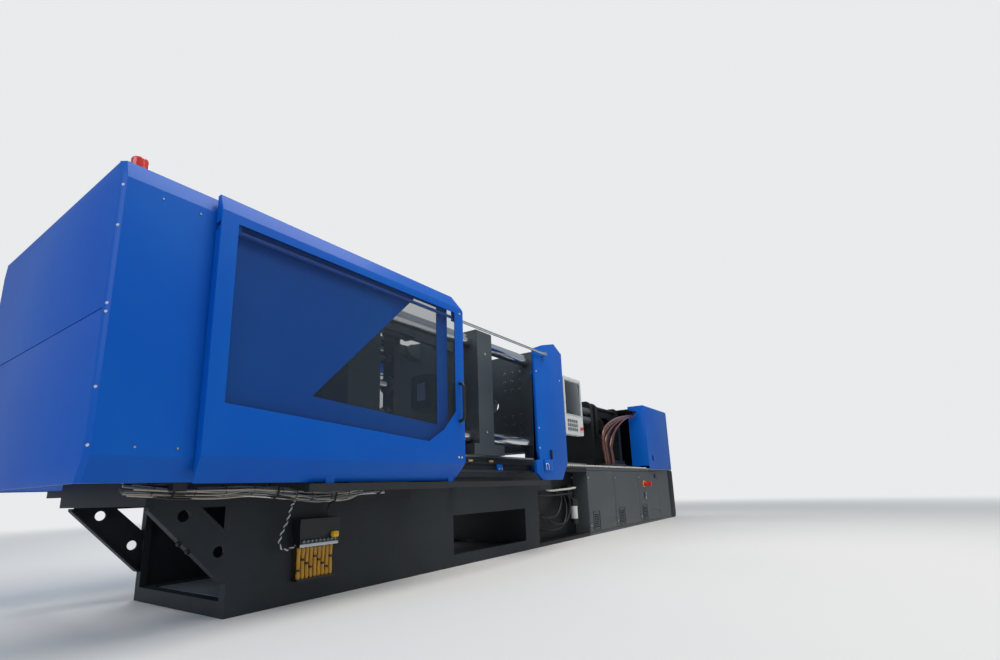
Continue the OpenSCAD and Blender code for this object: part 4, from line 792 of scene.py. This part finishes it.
# %% [markdown]
# Panes sit in black rubber, and vents in black frames. Both are flat frames that follow an outline:
# one face is inset, its middle is taken out, and the ring that is left is pulled to its depth.


# %% Gaskets and frames
def border(name, body, finish, outline, y, width, depth):
    """A flat frame along an outline given in X and Z, from y to y + depth."""
    work = bmesh.new()
    face = work.faces.new([work.verts.new(place) for place in on_wall(y, outline)])
    bmesh.ops.inset_region(work, faces=[face], thickness=width, use_even_offset=True, use_boundary=True)
    bmesh.ops.delete(work, geom=[face], context="FACES_ONLY")
    grown = bmesh.ops.extrude_face_region(work, geom=work.faces[:])["geom"]
    bmesh.ops.translate(work, verts=corners(grown), vec=(0, depth, 0))
    bmesh.ops.recalc_face_normals(work, faces=work.faces)
    from_bmesh(work, name, body, finish, smooth=25)


def rectangle(left, low, right, high):
    """The outline of an upright rectangle in X and Z."""
    return [(left, low), (right, low), (right, high), (left, high)]


DOOR_WINDOW = [(0.493, 1.082), (1.946, 0.978), (2.112, 1.074), (2.251, 1.222), (2.251, 2.022), (0.493, 2.023)]
COVER_WINDOW = [(1.018, 1.19), (2.105, 1.115), (2.105, 2.04), (1.86, 2.04)]
DOOR_TRAVEL = 1.3  # the operator's door stands open and the rear one is shut
SEAT, LIP, LIP_DEPTH = 0.0005, 0.007, 0.0033
rear_window = [(x + DOOR_TRAVEL, z) for x, z in DOOR_WINDOW]
border("door_gasket", "front_door_body", rubber, DOOR_WINDOW, -DOOR_FACE + SEAT, LIP, LIP_DEPTH)
rear_y = DOOR_FACE - SEAT - LIP_DEPTH
border("rear_door_gasket", "rear_door_body", rubber, rear_window, rear_y, LIP, LIP_DEPTH)
border("cover_gasket", "root", rubber, COVER_WINDOW, -COVER_HALF + SEAT, 0.006, LIP_DEPTH)
print("gaskets at y", -DOOR_FACE, round(rear_y, 4), -COVER_HALF)

# %% [markdown]
# The cabinet doors carry what every switch cabinet has: louvred vents in black frames, and
# quarter-turn locks with a slotted insert. The insert is a small block across the lock's sunk face.

# %% Vents and locks of the cabinet
DOOR_AT, DOOR_SKIN = (0.010, 0.931, 1.951), -0.559
LOCK_IN, LOCK_HEIGHTS, SLOT = 0.045, (0.12, 0.73), (0.004, 0.003, 0.014)
for number, door_x in enumerate(DOOR_AT, 1):
    left, body = CAB_X + door_x, f"door_{number}"
    vent = rectangle(left + 0.12, 0.06, left + 0.32, 0.294)
    border(f"vent_frame_{number}", body, black_plastic, vent, DOOR_SKIN - 0.006, 0.028, 0.0058)
    locks = [at(left + LOCK_IN, DOOR_SKIN, z) for z in LOCK_HEIGHTS]
    screw_heads(f"lock_bodies_{number}", body, steel, (0.013, 0.006), TO_OPERATOR, locks, sunk=0.4)
    slots = bmesh.new()
    for place in locks:
        block(slots, place + Vector((0, -0.0045, 0)), SLOT)
    rounded(slots, slots.edges[:], 0.0006, 1)
    from_bmesh(slots, f"lock_slots_{number}", body, black_plastic)
print("cabinet doors at x", [round(CAB_X + x, 3) for x in DOOR_AT])

# %% [markdown]
# The main switch stands in a yellow ring, the colour that its job asks for. The ring starts as a
# disc: it is pulled to its depth, its front is inset, and the middle is taken out, so that the
# switch's knob stands free. Below it is a small dark window and, further along, a black catch.


# %% Main switch plate, window and catch
def plate(name, body, finish, low, high, edge):
    """A block with rounded edges between two corners given from the covers' left edge."""
    work = bmesh.new()
    block_between(work, at(*low), at(*high))
    rounded(work, work.edges[:], edge, 2)
    from_bmesh(work, name, body, finish, smooth=40)


SWITCH_X, SWITCH_Z, SWITCH_R = CAB_X + 2.228, 0.63, 0.054
switch_plate = bmesh.new()
stand = upright(at(SWITCH_X, DOOR_SKIN, SWITCH_Z), TO_OPERATOR)
bmesh.ops.create_circle(switch_plate, cap_ends=True, segments=40, radius=SWITCH_R, matrix=stand)
grown = bmesh.ops.extrude_face_region(switch_plate, geom=switch_plate.faces[:])["geom"]
bmesh.ops.translate(switch_plate, verts=corners(grown), vec=(0, -0.003, 0))
front = min(switch_plate.faces, key=lambda f: f.calc_center_median().y)
bmesh.ops.inset_region(switch_plate, faces=[front], thickness=0.016)
discs = [f for f in switch_plate.faces if len(f.verts) > 8]
bmesh.ops.delete(switch_plate, geom=discs, context="FACES")
bmesh.ops.recalc_face_normals(switch_plate, faces=switch_plate.faces)
from_bmesh(switch_plate, "switch_plate", "door_3", yellow_plastic, smooth=30)
low, high = (SWITCH_X - 0.03, DOOR_SKIN - 0.012, 0.38), (SWITCH_X + 0.05, DOOR_SKIN - SEAT, 0.5)
plate("breaker_window", "door_3", screen_glass, low, high, 0.003)
low, high = (8.285, DOOR_SKIN - 0.02, 0.72), (8.31, DOOR_SKIN - SEAT, 0.79)
plate("door_catch_high", "door_3", black_plastic, low, high, 0.004)
print("main switch at x", SWITCH_X, "z", SWITCH_Z)

# %% [markdown]
# The terminal is a light plastic case with a touch screen behind black glass, a bezel and rows of
# keys. It swings on its arm, so everything here rides on the terminal's body.

# %% Terminal face
TERM_X, TERM_Y, TERM_LOW, TERM_W, TERM_H = 4.300, -0.9, 1.2, 0.455, 0.665
SCREEN_IN, SCREEN_LOW, BEZEL = 0.052, 0.237, 0.015
KEY_ROWS, KEY_COLUMNS, KEY_W, KEY_H, COLUMN_STEP, ROW_STEP = 3, 5, 0.037, 0.034, 0.052, 0.048
left, right = TERM_X + SCREEN_IN, TERM_X + TERM_W - SCREEN_IN
low, top = TERM_LOW + SCREEN_LOW, TERM_LOW + TERM_H - SCREEN_IN
glass = (left, TERM_Y - 0.001, low), (right, TERM_Y + 0.0055, top)
plate("terminal_screen", "terminal_body", screen_glass, *glass, 0.002)
bezel = rectangle(left - BEZEL, low - BEZEL, right + BEZEL, top + BEZEL)
border("terminal_bezel", "terminal_body", black_plastic, bezel, TERM_Y - 0.003, 0.012, 0.003)
for row in range(KEY_ROWS):
    for column in range(KEY_COLUMNS):
        x, z = TERM_X + 0.054 + column * COLUMN_STEP, TERM_LOW + 0.044 + row * ROW_STEP
        key = (x, TERM_Y - 0.007, z), (x + KEY_W, TERM_Y - SEAT, z + KEY_H)
        plate(f"key_{row}_{column}", "terminal_body", cable_grey, *key, 0.003)
print("keys", KEY_ROWS * KEY_COLUMNS)

# %% [markdown]
# Small fittings on the clamp: the door's stop block on the bed, the end bracket's bolts, the tray that
# catches drips inside the bed, the latch and the folded pocket at the foot of the cover beside the
# fixed platen, and the lubrication blocks under the platen's shoe.

# %% Clamp fittings
STOP_FACE, LUBE_FACE = -BED_HALF - 0.03, -BED_HALF - 0.022
plate("door_stop_block", "root", blue_coat, (3.395, STOP_FACE, 0.782), (3.485, -BED_HALF, 0.864), 0.006)
stop_screws = on_wall(STOP_FACE, ((3.415, 0.823), (3.465, 0.823)))
screw_heads("stop_block_screws", "root", steel, (0.009, 0.007), TO_OPERATOR, stop_screws)
bracket_bolts = on_wall(-BED_HALF, ((0.543, 0.413), (0.590, 0.368)))
screw_heads("bracket_bolts", "root", black_plastic, (0.013, 0.016), TO_OPERATOR, bracket_bolts)
plate("bed_drip_tray", "root", tray_grey, (BED_X + 0.075, -0.40, 0.0595), (BED_X + 0.62, 0.40, 0.085), 0.008)
pocket = (3.69, -COVER_HALF - 0.012, 0.785), (3.86, -COVER_HALF + 0.001, 0.9)
plate("post_pocket", "root", blue_coat, *pocket, 0.003)
lever = (3.835, -COVER_HALF - 0.022, 0.905), (3.853, -COVER_HALF, 1.0)
plate("post_latch_lever", "root", black_plastic, *lever, 0.005)
SHACKLE = [(3.72, 0.80), (3.715, 0.84), (3.74, 0.865), (3.765, 0.84), (3.76, 0.80)]
tubes("post_shackle", "root", chrome, (smooth_route(on_wall(-COVER_HALF - 0.016, SHACKLE), 4), 0.004))
LUBE_AT, PORTS_AT, PORT_HEAD = (2.975, 3.3), (-0.018, 0, 0.018), (0.006, 0.012)
for number, x in enumerate(LUBE_AT):
    lube_block = (x - 0.03, LUBE_FACE, 0.882), (x + 0.03, -BED_HALF, 0.904)
    plate(f"lube_block_{number}", "root", steel, *lube_block, 0.003)
    ports = [at(x + dx, LUBE_FACE, 0.893) for dx in PORTS_AT]
    screw_heads(f"lube_ports_{number}", "root", yellow_plastic, PORT_HEAD, TO_OPERATOR, ports, sunk=0.2)
print("lubrication ports", len(LUBE_AT) * len(PORTS_AT))

# %% [markdown]
# The flow unit shows amber tubes with a dark float in each, a label-free black cap and a yellow knob
# on its right. The floats hang at different heights, as they do when each circuit has its own flow.

# %% Flow unit
FLOW_X, FLOW_PITCH, FLOW_N = 1.19, 0.029, 9
tube_x = [FLOW_X + 0.03 + k * FLOW_PITCH for k in range(FLOW_N)]
floats = bmesh.new()
for k, x in enumerate(tube_x):
    height = 0.19 + 0.012 * ((k * 5) % 7)
    cone(floats, Matrix.Translation(at(x, -BED_HALF - 0.036, height)), 0.012, 0.0125, 0.014, 12)
from_bmesh(floats, "flow_floats", "root", black_plastic, smooth=40)
nuts = on_wall(-BED_HALF - 0.074, [(x, 0.358) for x in tube_x])
screw_heads("flow_port_nuts", "root", steel, (0.0115, 0.016), TO_OPERATOR, nuts)
knob = (FLOW_X + 0.225, -BED_HALF - 0.11, 0.366), (FLOW_X + 0.27, -BED_HALF - 0.075, 0.405)
plate("flow_knob", "root", yellow_plastic, *knob, 0.008)
manifold = (FLOW_X + 0.008, -BED_HALF - 0.0765, 0.324), (FLOW_X + 0.287, -BED_HALF - 0.0735, 0.342)
plate("flow_manifold_face", "root", light_plastic, *manifold, 0.001)
print("flow tubes", FLOW_N, "at a pitch of", FLOW_PITCH)

# %% [markdown]
# The recess beside the cabinet has a filter bowl, a white hose, two black ones and a row of bolts at
# the cabinet's edge. The bowl is two turned cylinders, and only their rims are rounded.

# %% Recess fittings
BOWL = (5.26, -0.461)
bowl = bmesh.new()
# The light bowl stops below the solid's top, so the black solid shows above it: a dark head, and painted
# shade on the bowl's top.
for low, high, radius in ((0.228, 0.372, 0.0435), (0.369, 0.384, 0.0465)):
    cone(bowl, Matrix.Translation(at(*BOWL, (low + high) / 2)), radius, radius, high - low, 28)
rounded(bowl, [e for e in bowl.edges if e.calc_face_angle(0) > 1], 0.006, 3)
from_bmesh(bowl, "filter_bowl", "root", light_plastic, smooth=40)
WHITE_HOSE = [
    (4.30, -0.40, 0.60), (4.40, -0.50, 0.62), (4.53, -0.53, 0.59), (4.73, -0.53, 0.592),
    (5.0, -0.53, 0.6), (5.25, -0.50, 0.61), (5.40, -0.37, 0.61),
]
BLACK_RECESS_HOSES = [
    [
        (4.62, -0.37, 0.30), (4.75, -0.45, 0.20), (4.95, -0.49, 0.21), (5.08, -0.49, 0.33),
        (5.14, -0.46, 0.47), (5.17, -0.37, 0.56),
    ],
    [
        (4.50, -0.37, 0.17), (4.70, -0.44, 0.13), (4.92, -0.47, 0.18), (5.03, -0.47, 0.34),
        (5.05, -0.43, 0.52), (5.02, -0.37, 0.62),
    ],
]
white_route = smooth_route([at(*p) for p in WHITE_HOSE], 6)
tubes("recess_hose_white", "root", cable_white, (white_route, 0.012))
black_routes = [smooth_route([at(*p) for p in line], 6) for line in BLACK_RECESS_HOSES]
tubes("recess_hoses_black", "root", cable_black, *[(route, 0.011) for route in black_routes])
edge_bolts = on_wall(-0.359, [(5.44, z) for z in (0.21, 0.34, 0.47, 0.62, 0.74)])
screw_heads("recess_bolts", "root", steel, (0.011, 0.01), TO_OPERATOR, edge_bolts)
print("recess hoses", 1 + len(black_routes), "bolts", len(edge_bolts))

# %% [markdown]
# Inside, the injection cover is lined with near-black mats: painted shade that makes its deep inside dark.
# It is a few mats set against the sheet, each a block with soft edges, and they make the opening look deep
# and dark.

# %% Liner of painted shade
INJ_X, INJ_L, INJ_HALF, INJ_LOW, INJ_TOP, INJ_OPEN, INJ_FLAP = 7.964, 1.268, 0.6, 0.87, 1.98, 0.48, 0.3
MAT, GAP = 0.012, 0.0045
BACK, OPEN_EDGE, FLAP_EDGE = INJ_L - 0.02, INJ_OPEN + 0.004, -INJ_HALF + INJ_FLAP - 0.004
WALL_Z, ROOF_Z = (INJ_LOW + 0.07, INJ_TOP - 0.03), (INJ_TOP - GAP - MAT, INJ_TOP - GAP)
MAT_SPANS = (  # X from the cover's start, Y and Z
    ((GAP, GAP + MAT), (-INJ_HALF + GAP, FLAP_EDGE), WALL_Z),
    ((0.27, BACK), (-INJ_HALF + GAP, -INJ_HALF + GAP + MAT), WALL_Z),
    ((OPEN_EDGE, BACK), (INJ_HALF - GAP - MAT, INJ_HALF - GAP), WALL_Z),
    ((INJ_L - GAP - MAT, INJ_L - GAP), (-INJ_HALF + 0.02, INJ_HALF - 0.02), WALL_Z),
    ((OPEN_EDGE, BACK), (-INJ_HALF + 0.03, INJ_HALF - 0.03), ROOF_Z),
    ((0.02, INJ_OPEN), (-INJ_HALF + 0.03, FLAP_EDGE), ROOF_Z),
)
mats = bmesh.new()
for x, y, z in MAT_SPANS:
    block_between(mats, at(INJ_X + x[0], y[0], z[0]), at(INJ_X + x[1], y[1], z[1]))
rounded(mats, mats.edges[:], 0.003, 2)
# The mats are painted shade: near black, so that the cover's inside looks dark.
from_bmesh(mats, "cover_foam_liner", body_of_node["injection_cover"], painted_shade_liner, smooth=40)
print("foam mats", len(MAT_SPANS))

# %% [markdown]
# Along its front edge the deck ends in a perforated grip strip: a row of bright pressed teeth. From
# afar they are a line of beads, so each is a short block with its edges rounded well down. The black
# strip under them is painted shadow, the shade under the deck's edge that sets them off. On the
# platen's side a milled step shows as a thin bright line.

# %% Deck teeth and the platen's milled step
DECK_FROM, DECK_TO, DECK_TOP, TOOTH_PITCH, TOOTH = 4.95, 7.92, 0.897, 0.05, (0.028, 0.012, 0.024)
TEETH = int((DECK_TO - DECK_FROM) / TOOTH_PITCH)
teeth = bmesh.new()
for k in range(TEETH):
    block(teeth, at(DECK_FROM + 0.02 + k * TOOTH_PITCH, -BED_HALF - 0.003, DECK_TOP - 0.011), TOOTH)
rounded(teeth, teeth.edges[:], 0.005, 2)
from_bmesh(teeth, "deck_teeth", "root", bright_teeth, smooth=50)
strip = (DECK_FROM, -BED_HALF, DECK_TOP - 0.03), (DECK_TO, -BED_HALF + 0.0045, DECK_TOP)
# A black plate as painted shadow under the deck's edge.
plate("deck_edge_shadow_strip", "root", black_paint_and_painted_shade, *strip, 0.0008)
plate("platen_step", "platen", steel, (3.105, -0.5943, 1.251), (3.34, -0.5915, 1.259), 0.0008)
print("deck teeth", TEETH)

# %% [markdown]
# The light is a plain studio: one large soft key from the operator's side, so that the long side is
# bright and the end face falls into shade, a weaker fill from the clamp end, a third lamp from
# behind, and an even world. The world shows the camera a paler tone than the one that lights the
# machine, so the backdrop is pale and the shadows stay.


# %% Lights and world
def soft_light(name, place, target, size, watts, colour="#FFFFFF"):
    """A square area lamp at place that faces target."""
    data = bpy.data.lights.new(name, "AREA")
    data.size = size
    data.energy = watts
    data.color = linear(colour)[:3]
    lamp = bpy.data.objects.new(name, data)
    bpy.context.scene.collection.objects.link(lamp)
    lamp.location = place
    lamp.rotation_euler = (Vector(target) - Vector(place)).to_track_quat("-Z", "Y").to_euler()


soft_light("key", (-1.0, -4.5, 9.5), (0.0, 0.0, 1.0), 7.0, 900, "#FFF8EE")
soft_light("fill", (-11.0, -1.0, 5.0), (-3.0, 0.0, 1.2), 5.0, 230, "#E8F1FF")
soft_light("back", (2.0, 8.0, 6.0), (0.0, 0.0, 1.0), 6.0, 320)
BACKDROP, BACKDROP_STRENGTH, SKY, SKY_STRENGTH = "#F4F6F8", 0.9, "#C9D3DE", 0.55
world = bpy.data.worlds.new("studio")
bpy.context.scene.world = world
world.use_nodes = True
sky = world.node_tree
rays = node(sky, "LightPath").outputs
direct = {0: rays["Is Camera Ray"], 1: rays["Is Transmission Ray"]}
seen = node(sky, "Math", direct, operation="MAXIMUM").outputs["Value"]
tone = {"Factor": seen, "A": linear(SKY), "B": linear(BACKDROP)}
level = node(sky, "Mix", tone, data_type="RGBA").outputs["Result"]
power = {"Value": seen, "To Min": SKY_STRENGTH, "To Max": BACKDROP_STRENGTH}
strength = node(sky, "MapRange", power).outputs["Result"]
sky.links.new(level, sky.nodes["Background"].inputs["Color"])
sky.links.new(strength, sky.nodes["Background"].inputs["Strength"])
print("lights", [light.name for light in bpy.data.lights])

# %% [markdown]
# The floor is a bare pale ground that keeps the machine's shadow. Far from the machine it fades into
# the backdrop, for the camera only, as a studio's curved backdrop does.

# %% Floor
ground = bmesh.new()
bmesh.ops.create_grid(ground, x_segments=1, y_segments=1, size=60)
ground_data = bpy.data.meshes.new("floor")
ground.to_mesh(ground_data)
ground.free()
floor = bpy.data.objects.new("floor", ground_data)
bpy.context.scene.collection.objects.link(floor)
pale, tree, shader = finish_of("pale_studio_floor", "#D9DADA", 0.7)
grain(tree, shader, 40, 0.3, strength=0.1)
FADE_FROM, FADE_TO = 6.5, 16.0
middle = node(tree, "TexCoord").outputs["Object"]
away = node(tree, "VectorMath", {"Vector": middle}, operation="LENGTH").outputs["Value"]
reach = {"Value": away, "From Min": FADE_FROM, "From Max": FADE_TO}
faded = node(tree, "MapRange", reach, interpolation_type="SMOOTHSTEP").outputs["Result"]
eye = node(tree, "LightPath").outputs["Is Camera Ray"]
share = node(tree, "Math", {0: faded, 1: eye}, operation="MULTIPLY").outputs["Value"]
haze = node(tree, "Emission", {"Color": linear(BACKDROP), "Strength": BACKDROP_STRENGTH}).outputs["Emission"]
blend = node(tree, "MixShader", {0: share, 1: shader.outputs["BSDF"], 2: haze}).outputs["Shader"]
tree.links.new(blend, tree.nodes["Material Output"].inputs["Surface"])
ground_data.materials.append(pale)
bpy.context.scene.view_settings.view_transform = "Standard"
print("floor fades from", FADE_FROM, "to", FADE_TO)
